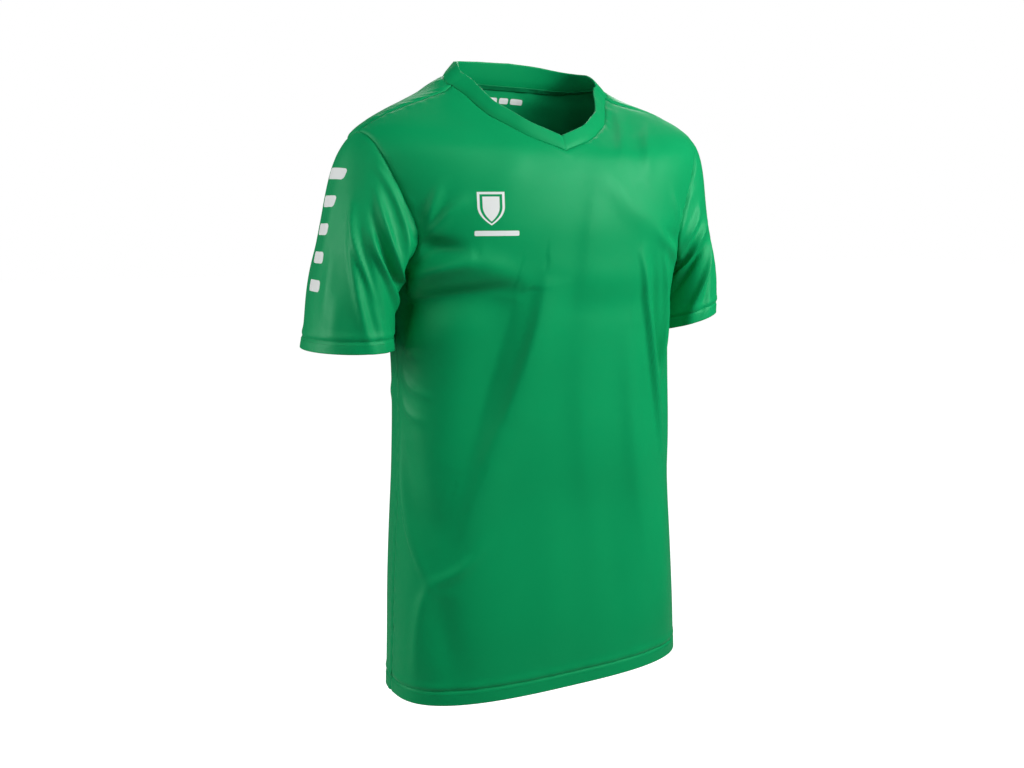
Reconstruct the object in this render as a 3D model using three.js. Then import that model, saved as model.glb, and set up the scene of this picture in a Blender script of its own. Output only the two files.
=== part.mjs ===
import * as THREE from "three";

// Football jersey, worn shape with no wearer. Millimetres, +Z up, front to -Y.
// The origin is midway between the two high shoulder points, where a wearer's shoulders carry it.

// Cloth and seams
const clothWall = 1.2;
const collarWall = 2.2;
const hemExtra = 1.0;
const bodyHemHeight = 18;
const sleeveHemHeight = 15;
const hemStep = 2;
const seamGap = 0.3;

// Where the pieces meet, as heights on the body
const underarmHeight = -200;
const shoulderPointHeight = -55;
const highPointHeight = 0;
const neckSideRise = 12.5;
const neckBackHeight = 8;
const hemTiltSlope = 0.028;
const rowSag = 34;

// How many cells each run of a seam has
const sideCells = 17;
const armholeCells = 13;
const shoulderCells = 8;
const frontNeckCells = 11;
const sleeveCells = 17;
const collarCells = 3;

// The body's horizontal rings from hem to neck
const bodyColumns = ["z", "half", "front", "back", "round", "ridge", "seam", "shift", "tilt"];
const bodyRows = [
  [-696, 187, 94, 70, 2.90, 0, 0, 3.5, 1.0],
  [-630, 184, 93, 76, 2.90, 0, 0, 3.5, 0.8],
  [-560, 181, 89, 80, 2.90, 0, 0, 3.0, 0.6],
  [-490, 177, 86, 82, 2.85, 0, 0, 3.0, 0.4],
  [-420, 173, 89, 85, 2.80, 0, 0, 2.5, 0.2],
  [-355, 171, 90, 89, 2.70, 0, 0, 2.0, 0.1],
  [-300, 172, 93, 93, 2.60, 0, 0, 1.5, 0],
  [-250, 177, 97, 98, 2.50, 0, 0, 1.0, 0],
  [-205, 185, 101, 103, 2.40, 0, 0, 0.5, 0],
  [-160, 199, 103, 106, 2.35, 0, 0, 0, 0],
  [-120, 212, 99, 105, 2.30, 0, -2, 0, 0],
  [-92, 219, 93, 100, 2.30, 0, -4, 0, 0],
  [-73, 221, 85, 96, 2.30, 0, -6, 0, 0],
  [-56, 217, 69, 91, 2.30, 0, -9, 0, 0],
  [-42, 200, 53, 85, 2.30, 1, -11, 0, 0],
  [-29, 177, 38, 80, 2.30, 4, -11, 0, 0],
  [-18, 154, 27, 76, 2.30, 9, -9, 0, 0],
  [-8, 134, 17, 72, 2.30, 15, -5, 0, 0],
  [0, 121, 11, 70, 2.30, 20, 0, 0, 0],
  [6, 111, 9, 68, 2.30, 20, 1, 0, 0],
  [13, 98, 8, 66, 2.30, 20, 3, 0, 0],
];

// The front neckline from the high shoulder point to the V
const neckColumns = ["x", "z"];
const neckRows = [
  [100, 0],
  [92, -9],
  [84, -21],
  [74, -34],
  [60, -44],
  [37, -59],
  [0, -73],
];

// How far each armhole is scooped inward of a straight line, underarm to shoulder point
const scoopColumns = ["front", "back"];
const scoopRows = [
  [0, 0],
  [19, 9],
  [28, 15],
  [20, 14],
  [9.5, 10],
  [3, 4],
  [0, 0],
];

// The upper arm ring and the cuff ring of each sleeve, measured outward from the body's middle
const sleeveColumns = ["side", "armX", "armY", "armZ", "armHalf", "armRise", "armDepth", "cuffX",
  "cuffY", "cuffZ", "cuffHalf", "cuffRise", "cuffDepth", "cuffNod", "lean"];
const sleeveRows = [
  [-1, 218, 0, -189, 33, 39, 68, 229, -1, -291, 50, 0, 71, 0, 9],
  [1, 213, 10, -186, 26, 39, 58, 218, 18, -281, 40, 12, 68, 0.1, 7],
];
const armRingShare = 0.46;

// The collar band's reach from the neck seam: at goes from 0 at the V, over 1 at the shoulder
// seam, to 2 at the back
const collarColumns = ["at", "inward", "backward", "upward"];
const collarRows = [
  [0, 0, 10, 16],
  [0.25, 4, 7, 16],
  [0.5, 8, 3, 15],
  [0.75, 10, 0, 13],
  [1, 13, 0, 13],
  [1.2, 17, -1, 12],
  [1.55, 5, -7, 21],
  [2, 0, -8, 26],
];

function named(columns, rows) {
  return rows.map((row) => Object.fromEntries(columns.map((name, i) => [name, row[i]])));
}

const body = named(bodyColumns, bodyRows);
const neck = named(neckColumns, neckRows);
const scoop = named(scoopColumns, scoopRows);
const sleeves = named(sleeveColumns, sleeveRows);
const collar = named(collarColumns, collarRows);

// Largest folds. Each runs from a over b to c in the piece's flat measures, across then up, with
// the half width of its slope and its height, which is below zero for a trough.
const foldColumns = ["ax", "ay", "bx", "by", "cx", "cy", "width", "height"];
const frontFoldRows = [
  [-152, 574, -163, 552, -172, 528, 11, 3],
  [-128, 520, -152, 508, -178, 498, 12, 3.5],
  [-174, 500, -141, 488, -105, 478, 16, -4],
  [-55, 480, -95, 400, -120, 300, 26, -6],
  [-10, 470, -45, 380, -85, 290, 22, 3],
  [-107, 178, -132, 158, -162, 140, 13, 4],
  [-157, 137, -179, 106, -186, 44, 13, 3.5],
  [-214, 290, -194, 234, -172, 150, 13, 4],
  [106, 486, 125, 391, 138, 305, 14, 3.5],
  [85, 408, 88, 293, 114, 163, 18, 3],
  [102, 699, 92, 665, 71, 621, 12, 3],
  [152, 572, 164, 550, 172, 528, 11, 3],
  [130, 522, 154, 508, 178, 498, 12, 3],
];
const backFoldRows = [
  [-160, 560, -150, 520, -120, 470, 14, 3.5],
  [165, 570, 150, 525, 118, 480, 14, 3.5],
  [-90, 430, -60, 340, -80, 240, 22, 4],
  [70, 450, 95, 350, 80, 250, 22, -4],
  [-150, 300, -120, 200, -130, 100, 18, 3.5],
  [140, 320, 120, 220, 135, 110, 18, 3.5],
  [-10, 640, 5, 560, -15, 470, 20, -3],
  [20, 260, -10, 160, 15, 60, 24, 3],
];
const rightFoldRows = [
  [65, 30, 95, 39, 122, 34, 11, 4],
  [80, 60, 104, 57, 124, 54, 11, 3.5],
  [45, 77, 69, 129, 88, 158, 12, 3.5],
  [296, 35, 268, 45, 242, 40, 11, 3.5],
  [310, 80, 285, 120, 272, 165, 13, 3.5],
];
const leftFoldRows = [
  [63, 50, 85, 46, 104, 46, 11, 3.5],
  [55, 92, 78, 103, 94, 118, 11, 3.5],
  [258, 32, 236, 42, 214, 38, 11, 3.5],
  [268, 75, 248, 110, 240, 150, 13, 3.5],
];
const folds = {
  front: named(foldColumns, frontFoldRows),
  back: named(foldColumns, backFoldRows),
  right: named(foldColumns, rightFoldRows),
  left: named(foldColumns, leftFoldRows),
};

// Small maths

function clamp(value, low, high) {
  return Math.min(high, Math.max(low, value));
}

function ease(value) {
  const t = clamp(value, 0, 1);
  return t * t * (3 - 2 * t);
}

function mix(a, b, t) {
  return a + (b - a) * t;
}

function lookUp(x, xs, ys) {
  const last = xs.length - 1;
  if (x <= xs[0]) return ys[0];
  if (x >= xs[last]) return ys[last];
  let low = 0;
  let high = last;
  while (high - low > 1) {
    const middle = (low + high) >> 1;
    if (xs[middle] <= x) low = middle;
    else high = middle;
  }
  return mix(ys[low], ys[high], (x - xs[low]) / (xs[high] - xs[low]));
}

function smoothRow(rows, name, position) {
  const last = rows.length - 1;
  const x = clamp(position, 0, last);
  const i = Math.min(Math.floor(x), last - 1);
  const t = x - i;
  const b = rows[i][name];
  const c = rows[i + 1][name];
  const a = i > 0 ? rows[i - 1][name] : 2 * b - c;
  const d = i < last - 1 ? rows[i + 2][name] : 2 * c - b;
  const linear = (c - a) * t;
  const square = (2 * a - 5 * b + 4 * c - d) * t * t;
  const cube = (3 * b - a - 3 * c + d) * t * t * t;
  return 0.5 * (2 * b + linear + square + cube);
}

function steps(count) {
  return Array.from({ length: count + 1 }, (_, i) => i / count);
}

function runLengths(points) {
  const lengths = [0];
  for (let i = 1; i < points.length; i += 1) {
    lengths.push(lengths[i - 1] + points[i].distanceTo(points[i - 1]));
  }
  return lengths;
}

// The body as a stack of half rings, each measured round from the centre line to the side seam

const ringCount = 300;
const roundCount = 96;

function superQuarter(half, depth, power, middle, sign) {
  return steps(160).map((t) => {
    const turn = (t * Math.PI) / 2;
    const across = Math.abs(Math.sin(turn) / half) ** power;
    const along = Math.abs(Math.cos(turn) / depth) ** power;
    const reach = (across + along) ** (-1 / power);
    return new THREE.Vector2(reach * Math.sin(turn), middle + sign * reach * Math.cos(turn));
  });
}

function halfRing(position, isFront) {
  const row = {};
  for (const name of bodyColumns) row[name] = smoothRow(body, name, position);
  const ahead = superQuarter(row.half, row.front + row.ridge, row.round, row.ridge, -1);
  const behind = superQuarter(row.half, row.back - row.ridge, row.round, row.ridge, 1);
  const seamX = lookUp(row.seam, ahead.map((p) => p.y), ahead.map((p) => p.x));
  const seamPoint = new THREE.Vector2(seamX, row.seam);
  const kept = ahead.filter((p) => (isFront ? p.y < row.seam - 0.01 : p.y > row.seam + 0.01));
  const line = isFront ? [...kept, seamPoint] : [...behind, ...kept.reverse().slice(1), seamPoint];
  const lengths = runLengths(line);
  const total = lengths[lengths.length - 1];
  const at = steps(roundCount).map((t) => t * total);
  return {
    row,
    total,
    x: at.map((d) => lookUp(d, lengths, line.map((p) => p.x))),
    y: at.map((d) => lookUp(d, lengths, line.map((p) => p.y))),
  };
}

function makeHalf(isFront) {
  const at = steps(ringCount).map((t) => t * (body.length - 1));
  const rings = at.map((position) => halfRing(position, isFront));
  const middle = roundCount / 2;
  const heights = rings.map((ring) => ring.row.z);
  const climb = [0];
  for (let i = 1; i < rings.length; i += 1) {
    const dy = rings[i].y[middle] - rings[i - 1].y[middle];
    climb.push(climb[i - 1] + Math.hypot(dy, heights[i] - heights[i - 1]));
  }
  const around = rings.map((ring) => ring.total);
  return { isFront, at, rings, heights, climb, around };
}

const halves = { front: makeHalf(true), back: makeHalf(false) };

// A point on the body: share goes from -1 to 1 round the half, level counts the rows of the table
function bodyPoint(half, share, level) {
  const a = clamp((level / (body.length - 1)) * ringCount, 0, ringCount - 1e-6);
  const i = Math.floor(a);
  const u = a - i;
  const b = clamp(Math.abs(share) * roundCount, 0, roundCount - 1e-6);
  const j = Math.floor(b);
  const v = b - j;
  const low = half.rings[i];
  const high = half.rings[i + 1];
  const read = (name) => {
    return mix(mix(low[name][j], low[name][j + 1], v), mix(high[name][j], high[name][j + 1], v), u);
  };
  const x = Math.sign(share) * read("x") + mix(low.row.shift, high.row.shift, u);
  const lift = hemTiltSlope * mix(low.row.tilt, high.row.tilt, u) * x;
  return new THREE.Vector3(x, read("y"), mix(low.row.z, high.row.z, u) + lift);
}

const levelAtHeight = (half, z) => lookUp(z, half.heights, half.at);
const levelAtClimb = (half, q) => lookUp(q, half.climb, half.at);
const climbAt = (half, level) => lookUp(level, half.at, half.climb);
const aroundAt = (half, level) => lookUp(level, half.at, half.around);

function shareAtX(half, x, level) {
  const a = clamp((level / (body.length - 1)) * ringCount, 0, ringCount - 1e-6);
  const i = Math.floor(a);
  const xs = half.rings[i].x.map((value, j) => mix(value, half.rings[i + 1].x[j], a - i));
  const widest = xs.indexOf(Math.max(...xs));
  const shares = steps(roundCount);
  return lookUp(x, xs.slice(0, widest + 1), shares.slice(0, widest + 1));
}

// Seam paths on the body, each a list of share and level at even lengths

function pathAt(half, path, distances) {
  const lengths = runLengths(path.map(([share, level]) => bodyPoint(half, share, level)));
  const total = lengths[lengths.length - 1];
  return distances(total).map((distance) => {
    const share = lookUp(distance, lengths, path.map((p) => p[0]));
    return [share, lookUp(distance, lengths, path.map((p) => p[1]))];
  });
}

function evenPath(half, path, cells) {
  return pathAt(half, path, (total) => steps(cells).map((t) => t * total));
}

// The hem's turning has a row at its top edge and one just above it
function hemRuns(total, hem, cells) {
  const start = hem + hemStep;
  return [0, hem, ...steps(cells - 2).map((t) => mix(start, total, t))];
}

function sidePath(half) {
  const top = levelAtHeight(half, underarmHeight);
  const path = steps(160).map((t) => [1, t * top]);
  return pathAt(half, path, (total) => hemRuns(total, bodyHemHeight, sideCells));
}

function shoulderPath(half) {
  const low = levelAtHeight(half, shoulderPointHeight);
  const high = levelAtHeight(half, highPointHeight);
  return evenPath(half, steps(160).map((t) => [1, mix(low, high, t)]), shoulderCells);
}

function armholePath(half) {
  const middle = (underarmHeight + shoulderPointHeight) / 2;
  const reach = (shoulderPointHeight - underarmHeight) / 2;
  const name = half.isFront ? "front" : "back";
  const seamX = (level) => {
    const shift = smoothRow(body, "shift", level);
    return bodyPoint(halves.front, 1, level).x - shift;
  };
  const first = seamX(levelAtHeight(half, underarmHeight));
  const last = seamX(levelAtHeight(half, shoulderPointHeight));
  const path = steps(240).map((t) => {
    const level = levelAtHeight(half, middle - reach * Math.cos(Math.PI * t));
    const inward = smoothRow(scoop, name, t * (scoop.length - 1));
    const share = shareAtX(half, mix(first, last, t) - inward, level);
    if (t === 0 || t === 1) return [1, level];
    return [half.isFront ? Math.min(share, 1) : mix(share, 1, ease((t - 0.72) / 0.28)), level];
  });
  return evenPath(half, path, armholeCells);
}

function neckPath(half) {
  const path = steps(240).map((t) => {
    if (half.isFront) {
      const level = levelAtHeight(half, smoothRow(neck, "z", t * (neck.length - 1)));
      const share = shareAtX(half, smoothRow(neck, "x", t * (neck.length - 1)), level);
      return [t === 0 ? 1 : t === 1 ? 0 : share, level];
    }
    const rise = neckSideRise * ease(t / 0.2);
    const fall = (neckSideRise - neckBackHeight) * ease((t - 0.2) / 0.8);
    return [1 - t, levelAtHeight(half, highPointHeight + rise - fall)];
  });
  return evenPath(half, path, frontNeckCells);
}

// One body panel as a grid of share and level: even rows up to the underarm, then rows that
// turn into the shoulder seams and the neckline, spread evenly along each column

function panelGrid(half) {
  const side = sidePath(half);
  const armhole = armholePath(half);
  const rightTop = [...shoulderPath(half), ...neckPath(half).slice(1)];
  const mirrored = rightTop.map(([share, level]) => [-share, level]);
  const top = [...mirrored, ...rightTop.slice(0, -1).reverse()];
  const flat = ([share, level]) => [share * aroundAt(half, level), climbAt(half, level)];
  const topFlat = top.map(flat);
  const halfWidth = topFlat[topFlat.length - 1][0];
  const rows = [];
  side.forEach(([, sideLevel], j) => {
    const blend = (0.5 * j) / sideCells;
    const sag = rowSag * (j / sideCells) ** 2;
    rows.push(top.map((_, i) => {
      const even = -1 + (2 * i) / (top.length - 1);
      const drop = sag * (1 - Math.abs(even) ** 7);
      const level = levelAtClimb(half, climbAt(half, sideLevel) - drop);
      return [mix(even, topFlat[i][0] / halfWidth, blend), level];
    }));
  });
  const base = rows[sideCells].map(flat);
  const armFlat = armhole.map(flat);
  const armFirst = armFlat[0];
  const armLast = armFlat[armholeCells];
  for (let j = 1; j <= armholeCells; j += 1) {
    const edge = armFlat[j];
    const edgeV = (edge[1] - armFirst[1]) / (armLast[1] - armFirst[1]);
    rows.push(top.map((_, i) => {
      const v = mix(j / armholeCells, edgeV, Math.abs((2 * i) / (top.length - 1) - 1) ** 2);
      if (i === 0) return [-armhole[j][0], armhole[j][1]];
      if (i === top.length - 1) return armhole[j];
      if (j === armholeCells) return top[i];
      const uBase = (base[i][0] / armFirst[0] + 1) / 2;
      const uTop = (topFlat[i][0] / armLast[0] + 1) / 2;
      const u = mix(uBase, uTop, v);
      const across = mix(base[i][0], topFlat[i][0], v) + (2 * u - 1) * edge[0]
        - (2 * u - 1) * mix(armFirst[0], armLast[0], edgeV);
      const up = mix(base[i][1], topFlat[i][1], v);
      const level = levelAtClimb(half, up);
      return [clamp(across / aroundAt(half, level), -1, 1), level];
    }));
  }
  const upper = rows.slice(sideCells);
  const columns = top.map((_, i) => {
    const column = upper.map((row) => row[i]);
    return i === 0 || i === top.length - 1 ? column : evenPath(half, column, armholeCells);
  });
  return [...rows.slice(0, sideCells), ...upper.map((_, j) => columns.map((column) => column[j]))];
}

// A grid keeps its points by row and column, its flat measures, and whether its columns close
function makePanel(half) {
  const rows = panelGrid(half);
  const points = rows.map((row) => row.map(([share, level]) => bodyPoint(half, share, level)));
  const flat = rows.map((row) => row.map(([share, level]) => {
    return [share * aroundAt(half, level), climbAt(half, level)];
  }));
  return { points, flat, closed: false, hem: bodyHemHeight, hemRow: 0 };
}

// Sleeves start on the armhole's own points and run over the upper arm ring to the cuff

function ringPoints(centre, sideways, forward, count) {
  const fine = steps(720).map((t) => {
    const turn = t * 2 * Math.PI;
    return centre.clone().addScaledVector(sideways, Math.cos(turn))
      .addScaledVector(forward, Math.sin(turn));
  });
  const lengths = runLengths(fine);
  const total = lengths[lengths.length - 1];
  return steps(count).slice(0, -1).map((t) => {
    const pick = (name) => lookUp(t * total, lengths, fine.map((p) => p[name]));
    return new THREE.Vector3(pick("x"), pick("y"), pick("z"));
  });
}

function hermite(a, b, startPull, endPull, t) {
  const square = t * t;
  const cube = square * t;
  return new THREE.Vector3()
    .addScaledVector(a, 2 * cube - 3 * square + 1)
    .addScaledVector(startPull, cube - 2 * square + t)
    .addScaledVector(b, 3 * square - 2 * cube)
    .addScaledVector(endPull, cube - square);
}

function makeSleeve(row) {
  const frontHole = armholePath(halves.front).map(([s, l]) => bodyPoint(halves.front, row.side * s, l));
  const backHole = armholePath(halves.back).map(([s, l]) => bodyPoint(halves.back, row.side * s, l));
  const hole = [...frontHole.reverse(), ...backHole.slice(1, -1)];
  const count = hole.length;
  const outward = (x, y, z) => new THREE.Vector3(row.side * x, y, z);
  const arm = ringPoints(outward(row.armX, row.armY, row.armZ), outward(row.armHalf, 0, row.armRise),
    outward(0, -row.armDepth, 0), count);
  const cuff = ringPoints(outward(row.cuffX, row.cuffY, row.cuffZ),
    outward(row.cuffHalf, 0, row.cuffRise), outward(0, -row.cuffDepth, row.cuffNod * row.cuffDepth),
    count);
  const leanTurn = THREE.MathUtils.degToRad(row.lean);
  const hang = outward(Math.sin(leanTurn), 0, -Math.cos(leanTurn));
  const columns = hole.map((start, i) => {
    const turn = (2 * Math.PI * i) / count;
    const high = 0.5 + 0.5 * Math.cos(turn);
    const top = high ** 1.5;
    const under = (1 - high) ** 1.5;
    const flank = 1 - top - under;
    const leave = outward(0.74, 0, -0.67).multiplyScalar(top)
      .add(outward(0.28, -0.22 * Math.sin(turn), -0.93).multiplyScalar(flank))
      .add(outward(0.95, 0, -0.25).multiplyScalar(under))
      .normalize();
    const upperLength = arm[i].distanceTo(start);
    const lowerLength = cuff[i].distanceTo(arm[i]);
    const lower = cuff[i].clone().sub(arm[i]).divideScalar(lowerLength);
    const through = cuff[i].clone().sub(start).normalize().multiplyScalar(0.45)
      .addScaledVector(lower, 0.55)
      .normalize();
    const arrive = hang.clone().multiplyScalar(0.3).addScaledVector(lower, 0.7);
    const length = upperLength + lowerLength;
    const runs = hemRuns(length, sleeveHemHeight, sleeveCells).map((d) => 1 - d / length).reverse();
    return runs.map((t) => {
      if (t < armRingShare) {
        return hermite(start, arm[i], leave.clone().multiplyScalar(0.95 * upperLength),
          through.clone().multiplyScalar(upperLength), t / armRingShare);
      }
      return hermite(arm[i], cuff[i], through.clone().multiplyScalar(lowerLength),
        arrive.clone().multiplyScalar(lowerLength), (t - armRingShare) / (1 - armRingShare));
    });
  });
  const points = steps(sleeveCells).map((_, j) => columns.map((column) => column[j]));
  const girth = 2 * runLengths(arm)[Math.floor(count / 2)];
  const flat = points.map((line, j) => line.map((_, i) => {
    return [(i / count) * girth, runLengths(columns[i])[j]];
  }));
  return { points, flat, closed: true, hem: sleeveHemHeight, hemRow: sleeveCells };
}

// The collar band stands on the neckline's own points, from the V round and back to the V

function makeCollar() {
  const frontNeck = neckPath(halves.front).map(([s, l]) => [s, l, halves.front]).reverse();
  const backNeck = neckPath(halves.back).map(([s, l]) => [s, l, halves.back]).slice(1);
  const seam = [...frontNeck, ...backNeck];
  const columns = [];
  for (let k = 0; k < 2 * (seam.length - 1); k += 1) {
    const i = k < seam.length ? k : 2 * (seam.length - 1) - k;
    const side = k < seam.length ? 1 : -1;
    const [share, level, half] = seam[i];
    const start = bodyPoint(half, side * share, level);
    const place = lookUp(i / frontNeckCells, collar.map((row) => row.at), collar.map((_, n) => n));
    const reach = new THREE.Vector3(-side * smoothRow(collar, "inward", place),
      smoothRow(collar, "backward", place), smoothRow(collar, "upward", place));
    columns.push(steps(collarCells).map((t) => start.clone().addScaledVector(reach, t)));
  }
  const points = steps(collarCells).map((_, j) => columns.map((column) => column[j]));
  const flat = points.map((line) => line.map(() => [0, 0]));
  return { points, flat, closed: true, hem: 0, hemRow: 0 };
}

// Folds move a grid's points along its own surface direction, and fade out at a sewn edge

function foldLift(rows, [across, up]) {
  let lift = 0;
  for (const fold of rows) {
    let nearest = Infinity;
    let where = 0;
    for (const t of steps(16)) {
      const x = (1 - t) ** 2 * fold.ax + 2 * t * (1 - t) * fold.bx + t * t * fold.cx;
      const y = (1 - t) ** 2 * fold.ay + 2 * t * (1 - t) * fold.by + t * t * fold.cy;
      const distance = Math.hypot(across - x, up - y);
      if (distance < nearest) {
        nearest = distance;
        where = t;
      }
    }
    const taper = Math.sin(Math.PI * mix(0.08, 0.92, where));
    lift += fold.height * taper * Math.exp(-((nearest / fold.width) ** 2));
  }
  return lift;
}

function surfaceNormals(grid) {
  const rowCount = grid.points.length;
  const columnCount = grid.points[0].length;
  const wrap = (i) => {
    if (grid.closed) return (i + columnCount) % columnCount;
    return clamp(i, 0, columnCount - 1);
  };
  const normals = grid.points.map((line, j) => line.map((_, i) => {
    const above = grid.points[Math.min(j + 1, rowCount - 1)][i];
    const below = grid.points[Math.max(j - 1, 0)][i];
    const across = line[wrap(i + 1)].clone().sub(line[wrap(i - 1)]);
    return across.cross(above.clone().sub(below)).normalize();
  }));
  let facing = 0;
  grid.points.forEach((line, j) => {
    const middle = new THREE.Vector3();
    if (grid.closed) line.forEach((point) => middle.addScaledVector(point, 1 / columnCount));
    else middle.z = line[0].z;
    line.forEach((point, i) => {
      facing += point.clone().sub(middle).dot(normals[j][i]);
    });
  });
  if (facing < 0) normals.forEach((line) => line.forEach((normal) => normal.negate()));
  return normals;
}

function seamKey(point) {
  return [point.x, point.y, point.z].map((value) => Math.round(value * 20)).join(" ");
}

function edgeKind(grid, j, i) {
  const onRow = j === 0 || j === grid.points.length - 1;
  const onColumn = !grid.closed && (i === 0 || i === grid.points[0].length - 1);
  return { onRow, onColumn, onEdge: onRow || onColumn };
}

// Directions at a seam are the mean of the pieces that meet there, so their walls meet squarely
function shareSeams(grids) {
  const sums = new Map();
  for (const grid of grids) {
    grid.points.forEach((line, j) => line.forEach((point, i) => {
      if (!edgeKind(grid, j, i).onEdge) return;
      const key = seamKey(point);
      if (!sums.has(key)) sums.set(key, { sum: new THREE.Vector3(), count: 0 });
      sums.get(key).sum.add(grid.normals[j][i]);
      sums.get(key).count += 1;
    }));
  }
  for (const grid of grids) {
    grid.sewn = grid.points.map((line, j) => line.map((point, i) => {
      const shared = edgeKind(grid, j, i).onEdge ? sums.get(seamKey(point)) : null;
      if (!shared || shared.count < 2) return false;
      grid.normals[j][i] = shared.sum.clone().normalize();
      return true;
    }));
  }
}

function addFolds(grid, rows) {
  const fade = (j, i) => {
    if (grid.sewn[j][i]) return 0;
    const last = grid.points[0].length - 1;
    const nearColumn = !grid.closed && (i === 1 || i === last - 1);
    const nearRow = (j === 1 && grid.sewn[0][i]) || (j === grid.points.length - 2
      && grid.sewn[grid.points.length - 1][i]);
    return nearColumn || nearRow ? 0.6 : 1;
  };
  grid.points.forEach((line, j) => line.forEach((point, i) => {
    const lift = foldLift(rows, grid.flat[j][i]) * fade(j, i);
    point.addScaledVector(grid.normals[j][i], lift);
  }));
}

// Each sewn edge steps back by half the seam gap, square to the seam
function openSeams(grid) {
  const rowCount = grid.points.length;
  const columnCount = grid.points[0].length;
  const moved = grid.points.map((line) => line.map((point) => point.clone()));
  const stepBack = (j, i, before, after, inner) => {
    const along = after.clone().sub(before);
    const back = along.cross(grid.normals[j][i]).normalize();
    if (back.dot(inner.clone().sub(grid.points[j][i])) < 0) back.negate();
    moved[j][i].addScaledVector(back, seamGap / 2);
  };
  grid.points.forEach((line, j) => line.forEach((_, i) => {
    if (!grid.sewn[j][i]) return;
    const kind = edgeKind(grid, j, i);
    if (kind.onRow) {
      const previous = grid.closed ? (i - 1 + columnCount) % columnCount : Math.max(i - 1, 0);
      const next = grid.closed ? (i + 1) % columnCount : Math.min(i + 1, columnCount - 1);
      const row = j === 0 ? 1 : rowCount - 2;
      if (grid.rowSewn[j]) stepBack(j, i, line[previous], line[next], grid.points[row][i]);
    }
    if (kind.onColumn) {
      const below = grid.points[Math.max(j - 1, 0)][i];
      const above = grid.points[Math.min(j + 1, rowCount - 1)][i];
      stepBack(j, i, below, above, line[i === 0 ? 1 : columnCount - 2]);
    }
  }));
  grid.points = moved;
}

// A closed wall round a grid: an outer skin, an inner skin and a strip along each open edge. Each
// cell is split along its shorter diagonal.
function wallGeometry(grid, wall) {
  const rowCount = grid.points.length;
  const columnCount = grid.points[0].length;
  const positions = [];
  const push = (sign) => grid.points.forEach((line, j) => line.forEach((point, i) => {
    const inHem = grid.hem > 0 && Math.abs(j - grid.hemRow) <= 1;
    const reach = sign > 0 ? wall / 2 : -(wall / 2 + (inHem ? hemExtra : 0));
    positions.push(...point.clone().addScaledVector(grid.normals[j][i], reach).toArray());
  }));
  push(1);
  push(-1);
  const half = rowCount * columnCount;
  const at = (side, j, i) => side * half + j * columnCount + (i % columnCount);
  const triangles = [];
  const quad = (a, b, c, d, turned = false) => {
    if (turned) triangles.push([a, b, d], [b, c, d]);
    else triangles.push([a, b, c], [a, c, d]);
  };
  const columns = grid.closed ? columnCount : columnCount - 1;
  for (let j = 0; j < rowCount - 1; j += 1) {
    for (let i = 0; i < columns; i += 1) {
      const next = (i + 1) % columnCount;
      const rising = grid.points[j][i].distanceTo(grid.points[j + 1][next]);
      const falling = grid.points[j][next].distanceTo(grid.points[j + 1][i]);
      const turned = falling < rising;
      quad(at(0, j, i), at(0, j, i + 1), at(0, j + 1, i + 1), at(0, j + 1, i), turned);
      quad(at(1, j, i), at(1, j + 1, i), at(1, j + 1, i + 1), at(1, j, i + 1), turned);
    }
  }
  for (let i = 0; i < columns; i += 1) {
    const top = rowCount - 1;
    quad(at(0, 0, i + 1), at(0, 0, i), at(1, 0, i), at(1, 0, i + 1));
    quad(at(0, top, i), at(0, top, i + 1), at(1, top, i + 1), at(1, top, i));
  }
  if (!grid.closed) {
    const last = columnCount - 1;
    for (let j = 0; j < rowCount - 1; j += 1) {
      quad(at(0, j, 0), at(0, j + 1, 0), at(1, j + 1, 0), at(1, j, 0));
      quad(at(0, j + 1, last), at(0, j, last), at(1, j, last), at(1, j + 1, last));
    }
  }
  const corner = (n) => new THREE.Vector3().fromArray(positions, 3 * n);
  let volume = 0;
  for (const [a, b, c] of triangles) volume += corner(a).dot(corner(b).cross(corner(c)));
  const index = volume > 0 ? triangles.flat() : triangles.flatMap(([a, b, c]) => [a, c, b]);
  const geometry = new THREE.BufferGeometry();
  geometry.setAttribute("position", new THREE.Float32BufferAttribute(positions, 3));
  geometry.setIndex(index);
  geometry.computeVertexNormals();
  return geometry;
}

// The five pieces that are cut and sewn

const pieces = [
  { name: "front_panel", grid: makePanel(halves.front), folds: folds.front, colour: 0x0ea261 },
  { name: "back_panel", grid: makePanel(halves.back), folds: folds.back, colour: 0x0a9156 },
  { name: "sleeve_right", grid: makeSleeve(sleeves[0]), folds: folds.right, colour: 0x0c8750 },
  { name: "sleeve_left", grid: makeSleeve(sleeves[1]), folds: folds.left, colour: 0x1ba66a },
  { name: "collar_band", grid: makeCollar(), folds: [], colour: 0x40af75 },
];

const grids = pieces.map((piece) => piece.grid);
for (const grid of grids) grid.normals = surfaceNormals(grid);
shareSeams(grids);
for (const grid of grids) {
  grid.rowSewn = grid.sewn.map((line) => line.filter((sewn) => sewn).length > 2);
}
for (const piece of pieces) {
  addFolds(piece.grid, piece.folds);
  const folded = surfaceNormals(piece.grid);
  piece.grid.normals = piece.grid.normals.map((line, j) => line.map((normal, i) => {
    return piece.grid.sewn[j][i] ? normal : folded[j][i];
  }));
  openSeams(piece.grid);
}

const jersey = new THREE.Group();
jersey.name = "football_jersey";
for (const piece of pieces) {
  const wall = piece.name === "collar_band" ? collarWall : clothWall;
  const material = new THREE.MeshStandardMaterial({ color: piece.colour, roughness: 0.55 });
  const mesh = new THREE.Mesh(wallGeometry(piece.grid, wall), material);
  mesh.name = piece.name;
  jersey.add(mesh);
}

export default jersey;
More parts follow.
